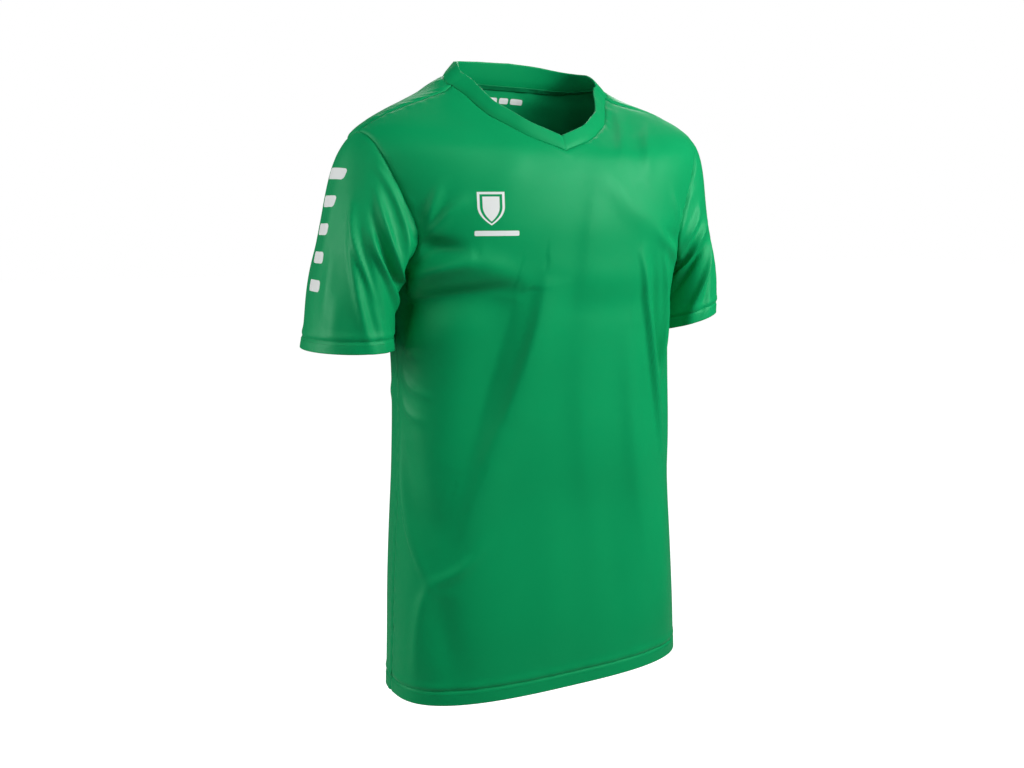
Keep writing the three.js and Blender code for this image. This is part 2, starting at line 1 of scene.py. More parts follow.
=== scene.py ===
import math
import bpy
import numpy as np
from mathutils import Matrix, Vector


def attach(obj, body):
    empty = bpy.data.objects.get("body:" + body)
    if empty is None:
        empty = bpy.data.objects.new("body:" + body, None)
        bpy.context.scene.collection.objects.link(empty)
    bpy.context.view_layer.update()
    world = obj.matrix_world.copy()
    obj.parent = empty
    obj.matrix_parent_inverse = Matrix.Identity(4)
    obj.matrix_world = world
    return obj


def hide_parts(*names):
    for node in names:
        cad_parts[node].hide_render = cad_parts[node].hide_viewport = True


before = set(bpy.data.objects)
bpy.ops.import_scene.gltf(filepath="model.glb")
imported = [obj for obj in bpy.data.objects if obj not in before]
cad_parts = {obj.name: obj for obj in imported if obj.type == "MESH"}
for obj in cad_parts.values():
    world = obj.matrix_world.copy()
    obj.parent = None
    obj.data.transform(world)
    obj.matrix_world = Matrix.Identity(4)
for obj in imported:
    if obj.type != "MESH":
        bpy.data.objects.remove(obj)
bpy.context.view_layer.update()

# Football jersey in its worn shape. Shapes are worked out in millimetres, +Z up, front to -Y,
# and turned to metres when a mesh is made.
print("jersey: frame loaded with", len(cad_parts), "solids")

# Small maths on whole arrays


def ease(value):
    # Smooth step from 0 to 1
    t = np.clip(value, 0, 1)
    return t * t * (3 - 2 * t)


def mix(a, b, t):
    return a + (b - a) * t


def bump(value, width):
    # Bell curve, 1 at zero
    return np.exp(-((value / width) ** 2))


def unit(vectors):
    length = np.linalg.norm(vectors, axis=-1, keepdims=True)
    return vectors / np.maximum(length, 1e-9)


def runLengths(points):
    # Distance along a line of points, from its first one
    gaps = np.linalg.norm(np.diff(points, axis=0), axis=-1)
    return np.concatenate([[0], np.cumsum(gaps)])


def smoothRow(column, position):
    # Catmull-Rom curve through one column of a table, read at row positions
    last = len(column) - 1
    x = np.clip(position, 0, last)
    i = np.minimum(np.asarray(x).astype(int), last - 1)
    t = x - i
    first = 2 * column[0] - column[1]
    final = 2 * column[-1] - column[-2]
    line = np.concatenate([[first], column, [final]])
    a, b, c, d = line[i], line[i + 1], line[i + 2], line[i + 3]
    linear = (c - a) * t
    square = (2 * a - 5 * b + 4 * c - d) * t**2
    cube = (3 * b - a - 3 * c + d) * t**3
    return 0.5 * (2 * b + linear + square + cube)


def gradedShares(cells, atStart, atEnd):
    # Shares from 0 to 1 whose cells shrink towards an end, by up to that part of a cell
    k = np.arange(cells)
    sizes = 1 - atStart * np.exp(-k / 1.8) - atEnd * np.exp(-(cells - 1 - k) / 1.8)
    return np.concatenate([[0], np.cumsum(sizes)]) / sizes.sum()


def table(columns, rows):
    # A table as one array for each named column
    values = np.array(rows, float)
    return {name: values[:, k] for k, name in enumerate(columns)}


# The body as level rings, each a blend of a front and a back oval

body = table(
    ("z", "half", "front", "back", "round", "ridge", "seam", "shift", "tilt"),
    [
        (-696, 187, 94, 70, 2.90, 0, 0, 3.5, 1.0),
        (-630, 184, 93, 76, 2.90, 0, 0, 3.5, 0.8),
        (-560, 181, 89, 80, 2.90, 0, 0, 3.0, 0.6),
        (-490, 177, 86, 82, 2.85, 0, 0, 3.0, 0.4),
        (-420, 173, 89, 85, 2.80, 0, 0, 2.5, 0.2),
        (-355, 171, 90, 89, 2.70, 0, 0, 2.0, 0.1),
        (-300, 172, 93, 93, 2.60, 0, 0, 1.5, 0),
        (-250, 177, 97, 98, 2.50, 0, 0, 1.0, 0),
        (-205, 185, 101, 103, 2.40, 0, 0, 0.5, 0),
        (-160, 199, 103, 106, 2.35, 0, 0, 0, 0),
        (-120, 212, 99, 105, 2.30, 0, -2, 0, 0),
        (-92, 219, 93, 100, 2.30, 0, -4, 0, 0),
        (-73, 221, 85, 96, 2.30, 0, -6, 0, 0),
        (-56, 217, 69, 91, 2.30, 0, -9, 0, 0),
        (-42, 200, 53, 85, 2.30, 1, -11, 0, 0),
        (-29, 177, 38, 80, 2.30, 4, -11, 0, 0),
        (-18, 154, 27, 76, 2.30, 9, -9, 0, 0),
        (-8, 134, 17, 72, 2.30, 15, -5, 0, 0),
        (0, 121, 11, 70, 2.30, 20, 0, 0, 0),
        (6, 111, 9, 68, 2.30, 20, 1, 0, 0),
        (13, 98, 8, 66, 2.30, 20, 3, 0, 0),
    ],
)
bodyRows = len(body["z"])

neckline = table(
    ("x", "z"),
    [(100, 0), (92, -9), (84, -21), (74, -34), (60, -44), (37, -59), (0, -73)],
)
scoop = table(
    ("front", "back"),
    [(0, 0), (19, 9), (28, 15), (20, 14), (9.5, 10), (3, 4), (0, 0)],
)

cut = {
    "underarmHeight": -200,
    "shoulderPointHeight": -55,
    "highPointHeight": 0,
    "neckSideRise": 12.5,
    "neckBackHeight": 8,
    "hemTilt": 0.028,
    "rowSag": 34,
    "ringCount": 800,
    "roundCount": 240,
    "quarterSteps": 321,
    "lineSteps": 481,
    "seamSteps": 400,
}

fine = {
    "sideCells": 150,
    "armholeCells": 60,
    "shoulderCells": 40,
    "neckCells": 44,
    "sleeveCells": 72,
}
bodyHemHeights = np.array([1.6, 3.4, 6, 9, 12, 14, 15.2, 16, 16.6, 17.2, 18, 19.4, 21.4, 24])
sleeveHemHeights = np.array([1.6, 3.2, 5.4, 8, 10.4, 11.8, 12.8, 13.4, 14, 14.8, 16.2, 18.4, 21])
armholeShares = gradedShares(fine["armholeCells"], 0.3, 0.7)
shoulderShares = gradedShares(fine["shoulderCells"], 0.7, 0)
neckShares = gradedShares(fine["neckCells"], 0, 0.75)
backNeckShares = gradedShares(fine["neckCells"], 0, 0)


def makeHalf(isFront):
    # Rings of one half: an oval of the row's power, even in length from the centre to the seam
    at = np.linspace(0, bodyRows - 1, cut["ringCount"] + 1)
    row = {name: smoothRow(column, at)[:, None] for name, column in body.items()}
    ahead = row["front"] + row["ridge"]
    behind = row["back"] - row["ridge"]

    def oval(turn, depth):
        across = np.abs(np.sin(turn) / row["half"]) ** row["round"]
        along = np.abs(np.cos(turn) / depth) ** row["round"]
        return (across + along) ** (-1 / row["round"])

    quarter = np.linspace(0, np.pi / 2, cut["quarterSteps"])[None]
    frontY = row["ridge"] - oval(quarter, ahead) * np.cos(quarter)
    seamTurn = np.array([np.interp(s, y, quarter[0]) for s, y in zip(row["seam"][:, 0], frontY)])
    if isFront:
        turn = np.linspace(0, 1, cut["lineSteps"])[None] * seamTurn[:, None]
        reach = oval(turn, ahead)
        y = row["ridge"] - reach * np.cos(turn)
    else:
        turn = np.linspace(0, 1, cut["lineSteps"])[None] * (np.pi - seamTurn[:, None])
        reach = oval(turn, np.where(turn <= np.pi / 2, behind, ahead))
        y = row["ridge"] + reach * np.cos(turn)
    x = reach * np.sin(turn)
    lengths = np.cumsum(np.hypot(np.diff(x, axis=1), np.diff(y, axis=1)), axis=1)
    lengths = np.concatenate([np.zeros((len(at), 1)), lengths], axis=1)
    shares = np.linspace(0, 1, cut["roundCount"] + 1)
    evenX = np.array([np.interp(shares * run[-1], run, line) for run, line in zip(lengths, x)])
    evenY = np.array([np.interp(shares * run[-1], run, line) for run, line in zip(lengths, y)])
    z = row["z"][:, 0]
    middle = evenY[:, cut["roundCount"] // 2]
    climb = np.concatenate([[0], np.cumsum(np.hypot(np.diff(middle), np.diff(z)))])
    return {
        "isFront": isFront, "at": at, "x": evenX, "y": evenY, "z": z, "climb": climb,
        "shift": row["shift"][:, 0], "tilt": row["tilt"][:, 0], "around": lengths[:, -1],
    }


halves = {"front": makeHalf(True), "back": makeHalf(False)}


def ringPlace(level):
    a = np.clip(np.asarray(level) / (bodyRows - 1) * cut["ringCount"], 0, cut["ringCount"] - 1e-6)
    i = a.astype(int)
    return i, a - i


def bodyPoint(half, share, level):
    # Point on a half: share runs from -1 to 1 round it, level counts the table's rows
    i, u = ringPlace(level)
    b = np.clip(np.abs(share) * cut["roundCount"], 0, cut["roundCount"] - 1e-6)
    j = b.astype(int)
    v = b - j

    def read(grid):
        return mix(mix(grid[i, j], grid[i, j + 1], v), mix(grid[i + 1, j], grid[i + 1, j + 1], v), u)

    x = np.sign(share) * read(half["x"]) + mix(half["shift"][i], half["shift"][i + 1], u)
    lift = cut["hemTilt"] * mix(half["tilt"][i], half["tilt"][i + 1], u) * x
    z = mix(half["z"][i], half["z"][i + 1], u) + lift
    return np.stack([x, read(half["y"]), z], axis=-1)


def levelAtHeight(half, z):
    return np.interp(z, half["z"], half["at"])


def levelAtClimb(half, climb):
    return np.interp(climb, half["climb"], half["at"])


def flatPlace(half, places):
    # Flat measures of a place: across along its ring, and up along the cloth
    share, level = places[..., 0], places[..., 1]
    across = share * np.interp(level, half["at"], half["around"])
    return np.stack([across, np.interp(level, half["at"], half["climb"])], axis=-1)


def shareAtX(half, x, level):
    i, u = ringPlace(level)
    lines = mix(half["x"][i], half["x"][i + 1], u[:, None])
    shares = np.linspace(0, 1, cut["roundCount"] + 1)
    widest = lines.argmax(axis=1)
    found = [np.interp(v, line[: w + 1], shares[: w + 1]) for v, line, w in zip(x, lines, widest)]
    return np.array(found)


# Seam paths on the body, each an array of share and level


def spread(half, path, places):
    # The path read again at set distances along it
    lengths = runLengths(bodyPoint(half, path[:, 0], path[:, 1]))
    at = places(lengths[-1])
    share = np.interp(at, lengths, path[:, 0])
    return np.stack([share, np.interp(at, lengths, path[:, 1])], axis=-1)


def sidePath(half):
    level = np.linspace(0, levelAtHeight(half, cut["underarmHeight"]), cut["seamSteps"])

    def places(total):
        rest = np.linspace(bodyHemHeights[-1], total, fine["sideCells"] + 1)[1:]
        return np.concatenate([[0], bodyHemHeights, rest])

    return spread(half, np.stack([np.ones(len(level)), level], axis=-1), places)


def shoulderPath(half):
    low = levelAtHeight(half, cut["shoulderPointHeight"])
    high = levelAtHeight(half, cut["highPointHeight"])
    level = np.linspace(low, high, cut["seamSteps"])
    path = np.stack([np.ones(len(level)), level], axis=-1)
    return spread(half, path, lambda total: total * shoulderShares)


def armholePath(half):
    middle = (cut["underarmHeight"] + cut["shoulderPointHeight"]) / 2
    reach = (cut["shoulderPointHeight"] - cut["underarmHeight"]) / 2
    t = np.linspace(0, 1, cut["lineSteps"])
    level = levelAtHeight(half, middle - reach * np.cos(np.pi * t))
    ends = levelAtHeight(half, np.array([cut["underarmHeight"], cut["shoulderPointHeight"]]))
    seamX = bodyPoint(halves["front"], np.ones(2), ends)[:, 0] - smoothRow(body["shift"], ends)
    name = "front" if half["isFront"] else "back"
    inward = smoothRow(scoop[name], t * (len(scoop[name]) - 1))
    share = np.minimum(shareAtX(half, mix(seamX[0], seamX[1], t) - inward, level), 1)
    if not half["isFront"]:
        share = mix(share, 1, ease((t - 0.72) / 0.28))
    share[[0, -1]] = 1
    return spread(half, np.stack([share, level], axis=-1), lambda total: total * armholeShares)


def neckPath(half):
    t = np.linspace(0, 1, cut["lineSteps"])
    if half["isFront"]:
        level = levelAtHeight(half, smoothRow(neckline["z"], t * (len(neckline["z"]) - 1)))
        share = shareAtX(half, smoothRow(neckline["x"], t * (len(neckline["x"]) - 1)), level)
        share[[0, -1]] = (1, 0)
        return spread(half, np.stack([share, level], axis=-1), lambda total: total * neckShares)
    rise = cut["neckSideRise"] * ease(t / 0.2)
    fall = (cut["neckSideRise"] - cut["neckBackHeight"]) * ease((t - 0.2) / 0.8)
    level = levelAtHeight(half, cut["highPointHeight"] + rise - fall)
    path = np.stack([1 - t, level], axis=-1)
    return spread(half, path, lambda total: total * backNeckShares)


def panelPlaces(half):
    # One panel as rows of share and level: even rows to the underarm, then rows that turn into
    # the shoulder seams and the neckline
    side = sidePath(half)
    armhole = armholePath(half)
    rightTop = np.concatenate([shoulderPath(half), neckPath(half)[1:]])
    top = np.concatenate([rightTop * (-1, 1), rightTop[:-1][::-1]])
    topFlat = flatPlace(half, top)
    columns = len(top)
    even = 2 * gradedShares(columns - 1, 0.72, 0.72)[None] - 1
    sideFlat = flatPlace(half, side)[:, 1:2]
    grown = (sideFlat - sideFlat[0]) / (sideFlat[-1] - sideFlat[0])
    drop = cut["rowSag"] * grown**2 * (1 - np.abs(even) ** 7)
    level = levelAtClimb(half, sideFlat - drop)
    share = mix(even, topFlat[None, :, 0] / topFlat[-1, 0], 0.5 * grown)
    lower = np.stack([share, level], axis=-1)

    base = flatPlace(half, lower[-1])
    armFlat = flatPlace(half, armhole)
    edgeV = ((armFlat[:, 1] - armFlat[0, 1]) / (armFlat[-1, 1] - armFlat[0, 1]))[:, None]
    v = mix(armholeShares[:, None], edgeV, np.abs(even) ** 2)
    baseU = (base[:, 0] / armFlat[0, 0] + 1) / 2
    topU = (topFlat[:, 0] / armFlat[-1, 0] + 1) / 2
    u = 2 * mix(baseU[None], topU[None], v) - 1
    across = mix(base[None, :, 0], topFlat[None, :, 0], v)
    across = across + u * (armFlat[:, None, 0] - mix(armFlat[0, 0], armFlat[-1, 0], edgeV))
    level = levelAtClimb(half, mix(base[None, :, 1], topFlat[None, :, 1], v))
    share = np.clip(across / np.interp(level, half["at"], half["around"]), -1, 1)
    upper = np.stack([share, level], axis=-1)
    upper[:, 0] = armhole * (-1, 1)
    upper[:, -1] = armhole
    upper[-1] = top
    for i in range(1, columns - 1):
        upper[:, i] = spread(half, upper[:, i], lambda total: total * armholeShares)
    return np.concatenate([lower[:-1], upper])


def makePanel(half):
    places = panelPlaces(half)
    points = bodyPoint(half, places[..., 0], places[..., 1])
    return {"points": points, "flat": flatPlace(half, places), "closed": False}


# Sleeves start on the armholes' points, pass the upper arm ring and end at the cuff ring

sleeveRight = {
    "side": -1, "arm": (218, 0, -189), "armHalf": 33, "armRise": 39, "armDepth": 68,
    "cuff": (229, -1, -291), "cuffHalf": 50, "cuffRise": 0, "cuffDepth": 71, "cuffNod": 0,
    "lean": 9,
}
sleeveLeft = {
    "side": 1, "arm": (213, 10, -186), "armHalf": 26, "armRise": 39, "armDepth": 58,
    "cuff": (218, 18, -281), "cuffHalf": 40, "cuffRise": 12, "cuffDepth": 68, "cuffNod": 0.1,
    "lean": 7,
}
armRingShare = 0.46


def ovalRing(centre, sideways, forward, shares):
    # Oval through a centre and two half axes, read at even shares of its length
    turn = np.linspace(0, 2 * np.pi, 1441)[:, None]
    line = centre + np.cos(turn) * sideways + np.sin(turn) * forward
    lengths = runLengths(line)
    read = [np.interp(shares * lengths[-1], lengths, line[:, k]) for k in range(3)]
    return np.stack(read, axis=-1), lengths[-1]


def hermite(a, b, startPull, endPull, t):
    t = t[..., None]
    square = t * t
    cube = square * t
    start = (2 * cube - 3 * square + 1) * a + (cube - 2 * square + t) * startPull
    return start + (3 * square - 2 * cube) * b + (cube - square) * endPull


def makeSleeve(size):
    side = size["side"]
    mirror = np.array([side, 1, 1])
    holes = []
    for half in (halves["front"], halves["back"]):
        path = armholePath(half)
        holes.append(bodyPoint(half, side * path[:, 0], path[:, 1]))
    start = np.concatenate([holes[0][::-1], holes[1][1:-1]])
    ringShares = np.concatenate([(1 - armholeShares[::-1]) / 2, 0.5 + armholeShares[1:-1] / 2])
    arm, girth = ovalRing(
        np.array(size["arm"]) * mirror,
        np.array([size["armHalf"], 0, size["armRise"]]) * mirror,
        np.array([0, -size["armDepth"], 0]), ringShares)
    cuff, _ = ovalRing(
        np.array(size["cuff"]) * mirror,
        np.array([size["cuffHalf"], 0, size["cuffRise"]]) * mirror,
        np.array([0, -size["cuffDepth"], size["cuffNod"] * size["cuffDepth"]]), ringShares)
    turn = 2 * np.pi * ringShares[:, None]
    high = 0.5 + 0.5 * np.cos(turn)
    top = high**1.5
    under = (1 - high) ** 1.5
    flankWay = np.concatenate([0.28 + 0 * turn, -0.22 * np.sin(turn), -0.93 + 0 * turn], axis=1)
    leave = top * (0.74, 0, -0.67) + (1 - top - under) * flankWay + under * (0.95, 0, -0.25)
    leave = unit(leave * mirror)
    lean = math.radians(size["lean"])
    hang = np.array([math.sin(lean), 0, -math.cos(lean)]) * mirror
    upperLength = np.linalg.norm(arm - start, axis=1, keepdims=True)
    lowerLength = np.linalg.norm(cuff - arm, axis=1, keepdims=True)
    lower = (cuff - arm) / lowerLength
    through = unit(0.45 * unit(cuff - start) + 0.55 * lower)
    arrive = 0.3 * hang + 0.7 * lower
    length = (upperLength + lowerLength)[:, 0]
    inner = gradedShares(fine["sleeveCells"], 0, 0.7)[1:, None]
    rest = mix(sleeveHemHeights[-1], length[None], inner)
    hem = np.concatenate([[0], sleeveHemHeights])[:, None] + 0 * length[None]
    t = np.clip(1 - np.concatenate([hem, rest]) / length, 0, 1)[::-1]
    first = hermite(start, arm, 0.95 * upperLength * leave, upperLength * through, t / armRingShare)
    second = hermite(arm, cuff, lowerLength * through, lowerLength * arrive,
                     (t - armRingShare) / (1 - armRingShare))
    points = np.where((t < armRingShare)[..., None], first, second)
    down = np.concatenate([[np.zeros(len(start))],
                           np.cumsum(np.linalg.norm(np.diff(points, axis=0), axis=-1), axis=0)])
    flat = np.stack([ringShares[None] * girth + 0 * down, down], axis=-1)
    return {"points": points, "flat": flat, "closed": True, "girth": girth}


def surfaceNormals(grid):
    # Cross product of the steps along and across the grid, turned to point out
    points = grid["points"]
    if grid["closed"]:
        across = np.roll(points, -1, axis=1) - np.roll(points, 1, axis=1)
    else:
        across = np.gradient(points, axis=1)
    normals = unit(np.cross(across, np.gradient(points, axis=0)))
    middle = points.mean(axis=1, keepdims=True)
    if not grid["closed"]:
        middle[..., :2] = 0
    return normals if ((points - middle) * normals).sum() >= 0 else -normals


grids = {
    "front": makePanel(halves["front"]),
    "back": makePanel(halves["back"]),
    "right": makeSleeve(sleeveRight),
    "left": makeSleeve(sleeveLeft),
}
for grid in grids.values():
    grid["normals"] = surfaceNormals(grid)
    print("jersey: surface of", grid["points"].shape[:2], "points")

# Seams: where two pieces' edges meet, their outward directions are averaged


def edgeMask(grid):
    mask = np.zeros(grid["points"].shape[:2], bool)
    mask[[0, -1]] = True
    if not grid["closed"]:
        mask[:, [0, -1]] = True
    return mask


sewnWithin = 0.35  # edge points of two pieces this near, in mm, are sewn together


def shareSeams(pieces):
    masks = [edgeMask(grid) for grid in pieces]
    points = np.concatenate([grid["points"][mask] for grid, mask in zip(pieces, masks)])
    normals = np.concatenate([grid["normals"][mask] for grid, mask in zip(pieces, masks)])
    near = np.linalg.norm(points[:, None] - points[None], axis=-1) < sewnWithin
    shared = unit(near.astype(float) @ normals)
    owner = np.concatenate([np.full(mask.sum(), k) for k, mask in enumerate(masks)])
    others = (near & (owner[:, None] != owner[None])).any(axis=1)
    for k, (grid, mask) in enumerate(zip(pieces, masks)):
        mine = owner == k
        sewn = np.zeros(mask.shape, bool)
        sewn[mask] = others[mine]
        grid["sewn"] = sewn
        held = grid["normals"][mask]
        held[others[mine]] = shared[mine][others[mine]]
        grid["normals"][mask] = held


def seamDistance(grid):
    # Distance of each point from the piece's nearest sewn edge point
    seam = grid["points"][grid["sewn"]]
    flat = grid["points"].reshape(-1, 3)
    blocks = np.array_split(flat, max(1, len(flat) // 2000))  # about 2000 points at once
    nearest = [np.linalg.norm(block[:, None] - seam[None], axis=-1).min(axis=1) for block in blocks]
    return np.concatenate(nearest).reshape(grid["points"].shape[:2])


# Folds: each passes three points in the piece's flat measures, across then up (down on a sleeve),
# with the half width of its slope, its height (below zero for a trough) and a lean to one side

foldColumns = ("ax", "ay", "bx", "by", "cx", "cy", "width", "height", "lean")
frontFolds = table(foldColumns, [
    # Fan of creases out of the right armhole
    (-150, 584, -162, 556, -171, 528, 5.5, 4.6, 0.2),
    (-120, 570, -149, 548, -174, 518, 6, 5.4, 0.2),
    (-146, 560, -160, 545, -172, 534, 5, -2.4, 0),
    (-112, 512, -150, 496, -194, 480, 12, 6.0, 0),
    (-184, 526, -156, 518, -118, 513, 12, -8.0, -0.3),
    # Rounded lower edge of the chest and the hollow under it
    (-212, 448, -148, 462, -66, 470, 18, -12.5, -0.45),
    (-180, 548, -196, 502, -214, 440, 10, -8.0, 0),
    (-196, 484, -206, 440, -210, 396, 15, -6.0, 0),
    (-190, 474, -136, 500, -66, 486, 13, 6.5, 0),
    (-40, 492, 50, 482, 156, 488, 22, 1.8, 0),
    (-20, 452, 60, 448, 168, 458, 20, -1.4, 0),
    # Long diagonal from the breastbone to the right hip
    (-32, 486, -50, 400, -96, 282, 19, 7.5, 0.5),
    (-70, 460, -90, 386, -128, 270, 24, -8.0, -0.35),
    (-84, 320, -108, 250, -128, 176, 19, 4.6, 0.4),
    # Right side and hip
    (-224, 352, -206, 240, -168, 140, 7, 5.5, 0.4),
    (-196, 300, -180, 240, -150, 190, 18, -4.0, 0),
    (-100, 188, -131, 157, -170, 141, 7, 2.8, 0.2),
    (-160, 140, -179, 104, -189, 30, 9, 4.4, 0.2),
    (-146, 128, -150, 84, -140, 26, 17, -4.5, 0),
    (-208, 380, -189, 361, -162, 351, 5, 2.8, 0),
    (-212, 352, -194, 332, -170, 323, 5, 2.6, 0),
    (-206, 412, -192, 400, -174, 393, 5, 2.2, 0),
    # Left side, seen along the far edge
    (96, 508, 119, 398, 148, 262, 7, 7.5, 0.4),
    (136, 506, 152, 425, 138, 335, 6, 7.0, 0.3),
    (118, 500, 135, 412, 148, 330, 7, -6.0, 0),
    (168, 420, 172, 330, 165, 240, 12, 3.5, 0),
    # Soft hangs down the middle and towards the hem
    (26, 452, 20, 320, 44, 160, 26, 3.0, 0.3),
    (84, 420, 92, 290, 122, 120, 20, 4.0, 0.3),
    (60, 260, 66, 150, 78, 40, 24, -3.2, 0),
    (-30, 240, -20, 130, -34, 30, 30, 3.0, 0),
    (150, 200, 146, 120, 152, 30, 18, 3.0, 0),
    # Left shoulder and chest
    (104, 702, 90, 662, 70, 618, 9, 2.6, 0.3),
    (134, 670, 114, 632, 106, 598, 8, 2.2, 0.2),
    (36, 606, 92, 552, 156, 532, 16, 2.6, 0),
    (40, 604, 22, 525, 18, 440, 18, 2.2, 0.3),
    (-60, 640, -70, 600, -104, 574, 18, 1.8, 0),
    # Fan of creases out of the left armhole
    (150, 580, 163, 552, 171, 528, 6, 2.8, 0),
    (120, 534, 152, 512, 182, 496, 8, 5.0, 0),
    (176, 520, 156, 524, 130, 534, 8, -2.6, 0),
])
backFolds = table(foldColumns, [
    (-150, 590, -164, 560, -172, 532, 7, 3.8, 0.2),
    (-118, 556, -148, 538, -176, 508, 9, 5.0, 0.2),
    (-176, 520, -140, 512, -100, 512, 11, -5.0, 0),
    (-104, 500, -140, 470, -190, 450, 12, 5.6, 0),
    (150, 586, 163, 556, 172, 530, 7, 3.8, 0),
    (116, 548, 150, 532, 178, 504, 9, 5.2, 0),
    (178, 516, 142, 508, 104, 506, 11, -4.5, 0),
    (106, 492, 146, 462, 194, 446, 12, 5.0, 0),
    (-120, 470, -78, 350, -84, 230, 22, 6.9, -0.3),
    (-40, 440, -30, 330, -52, 210, 24, -5.6, 0),
    (70, 450, 95, 350, 80, 250, 22, -6.2, 0),
    (116, 460, 128, 350, 108, 220, 18, 6.0, 0.3),
    (24, 470, 30, 360, 16, 240, 24, 4.5, 0),
    (-150, 300, -120, 200, -130, 100, 18, 5.6, 0.2),
    (-172, 230, -168, 150, -176, 60, 13, 4.5, 0),
    (140, 320, 120, 220, 135, 110, 18, 5.6, -0.2),
    (-10, 650, 5, 560, -15, 470, 20, -4.5, 0),
    (-60, 660, -84, 610, -96, 560, 16, 3.8, 0),
    (62, 668, 82, 616, 92, 562, 16, 3.8, 0),
    (20, 260, -10, 160, 15, 50, 24, 5.2, 0),
    (-60, 190, -66, 110, -54, 30, 22, -4.2, 0),
    (70, 200, 78, 110, 70, 30, 22, -3.8, 0),
    (-204, 366, -192, 352, -172, 340, 6, 1.4, 0),
    (224, 392, 196, 374, 170, 366, 6, 2.8, 0),
    (228, 320, 202, 306, 176, 300, 6, 2.2, 0),
])
rightFolds = table(foldColumns, [
    (42, 12, 84, 11, 132, 22, 5.5, 4.6, -0.2),
    (58, 26, 97, 39, 148, 37, 5.5, 6.7, -0.3),
    (66, 42, 104, 51, 152, 47, 5.5, -4.6, 0),
    (80, 56, 107, 66, 152, 56, 5.5, 7.0, -0.3),
    (42, 58, 67, 85, 104, 108, 7, 6.5, -0.3),
    (60, 66, 84, 90, 114, 114, 8, -4.6, 0),
    (52, 80, 70, 114, 92, 164, 8, 5.5, -0.3),
    (72, 96, 92, 128, 112, 164, 9, -3.6, 0),
    (34, 120, 36, 160, 32, 200, 10, 2.9, 0),
    (52, 150, 52, 176, 46, 206, 9, 2.6, 0),
    (114, 8, 131, 36, 142, 64, 16, 13.0, 0),
    (146, 78, 155, 96, 160, 114, 15, -3.6, 0),
    (104, 132, 112, 160, 112, 190, 11, 2.9, 0),
    (10, 60, 14, 110, 10, 160, 12, 2.4, 0),
    (318, 22, 276, 22, 226, 30, 7, 4.3, 0.2),
    (304, 46, 262, 52, 214, 44, 7, 5.5, 0.2),
    (296, 66, 258, 70, 214, 60, 8, -3.6, 0),
    (312, 84, 284, 112, 256, 132, 9, 4.8, 0.2),
    (296, 130, 286, 164, 270, 200, 10, 3.8, 0),
    (330, 120, 334, 160, 330, 206, 12, 3.1, 0),
])
leftFolds = table(foldColumns, [
    (64, 27, 84, 24, 112, 14, 5.5, 5.0, 0),
    (60, 58, 96, 41, 134, 45, 5.5, 7.2, 0),
    (70, 72, 102, 60, 136, 62, 6.5, -5.0, 0),
    (56, 84, 81, 102, 102, 126, 7, 6.7, 0),
    (60, 96, 78, 120, 92, 146, 8, -3.6, 0),
    (36, 96, 48, 134, 52, 176, 8, 4.6, 0),
    (86, 120, 104, 146, 112, 180, 12, 3.4, 0),
    (280, 26, 244, 26, 200, 30, 7, 4.3, 0),
    (268, 48, 230, 54, 190, 46, 7, 5.5, 0),
    (262, 72, 232, 76, 196, 66, 8, -3.6, 0),
    (274, 84, 250, 110, 228, 130, 9, 4.8, 0),
    (262, 126, 252, 156, 240, 186, 10, 3.6, 0),
    (292, 110, 296, 146, 292, 190, 12, 2.9, 0),
    (8, 56, 12, 100, 8, 150, 12, 2.4, 0),
])


def foldLift(folds, flat):
    # Sum of the folds' bells across their paths, each tapering towards its two ends
    lift = np.zeros(flat.shape[:2])
    t = np.linspace(0, 1, 33)[:, None]
    for k in range(len(folds["ax"])):
        fold = {name: column[k] for name, column in folds.items()}
        a = np.array([fold["ax"], fold["ay"]])
        b = np.array([fold["bx"], fold["by"]])
        c = np.array([fold["cx"], fold["cy"]])
        path = (1 - t) ** 2 * a + t * (1 - t) * (4 * b - a - c) + t**2 * c
        reach = 3.2 * fold["width"]
        low, high = path.min(axis=0) - reach, path.max(axis=0) + reach
        near = ((flat > low) & (flat < high)).all(axis=-1)
        spot = flat[near][:, None]
        step = np.diff(path, axis=0)[None]
        from0 = spot - path[None, :-1]
        along = np.clip((from0 * step).sum(-1) / (step**2).sum(-1), 0, 1)
        apart = from0 - along[..., None] * step
        distance = np.linalg.norm(apart, axis=-1)
        best = distance.argmin(axis=1)
        pick = np.arange(len(best))
        ahead, off = step[0, best], apart[pick, best]
        side = np.sign(ahead[:, 0] * off[:, 1] - ahead[:, 1] * off[:, 0])
        where = (best + along[pick, best]) / step.shape[1]
        width = fold["width"] * (1 + fold["lean"] * side)
        taper = np.sin(np.pi * mix(0.05, 0.95, where)) ** 0.9
        lift[near] += fold["height"] * taper * bump(distance[pick, best], width)
    return lift


# Each skin stands off the solids' middle surface, dips into a groove at a seam and folds

skin = {"wall": 1.2, "cloth": 0.6, "groove": 1.2, "grooveWidth": 1.8, "foldFade": 9, "puff": 0.3}
pucker = {"height": 0.55, "reach": 4.5, "width": 4.0}
hemLine = {
    "body": 16.6, "sleeve": 13.4, "groove": 0.95, "width": 1.4, "ridge": 0.9, "ply": 0.45,
    "bodyTurn": 16.8, "sleeveTurn": 14.4, "wave": 0.22,
}


def seamPucker(grid, distance):
    # Small uneven ripples across a seam, from three sines of the place along it
    across, up = grid["flat"][..., 0], grid["flat"][..., 1]
    along = up + 0.6 * across
    ripple = (np.sin(along / 2.6 + 2.2 * np.sin(along / 31)) + 0.6 * np.sin(along / 4.3 + 1.3)
              + 0.5 * np.sin(along / 7.9 + 0.7))
    return pucker["height"] * 0.6 * ripple * bump(distance - pucker["reach"], pucker["width"])


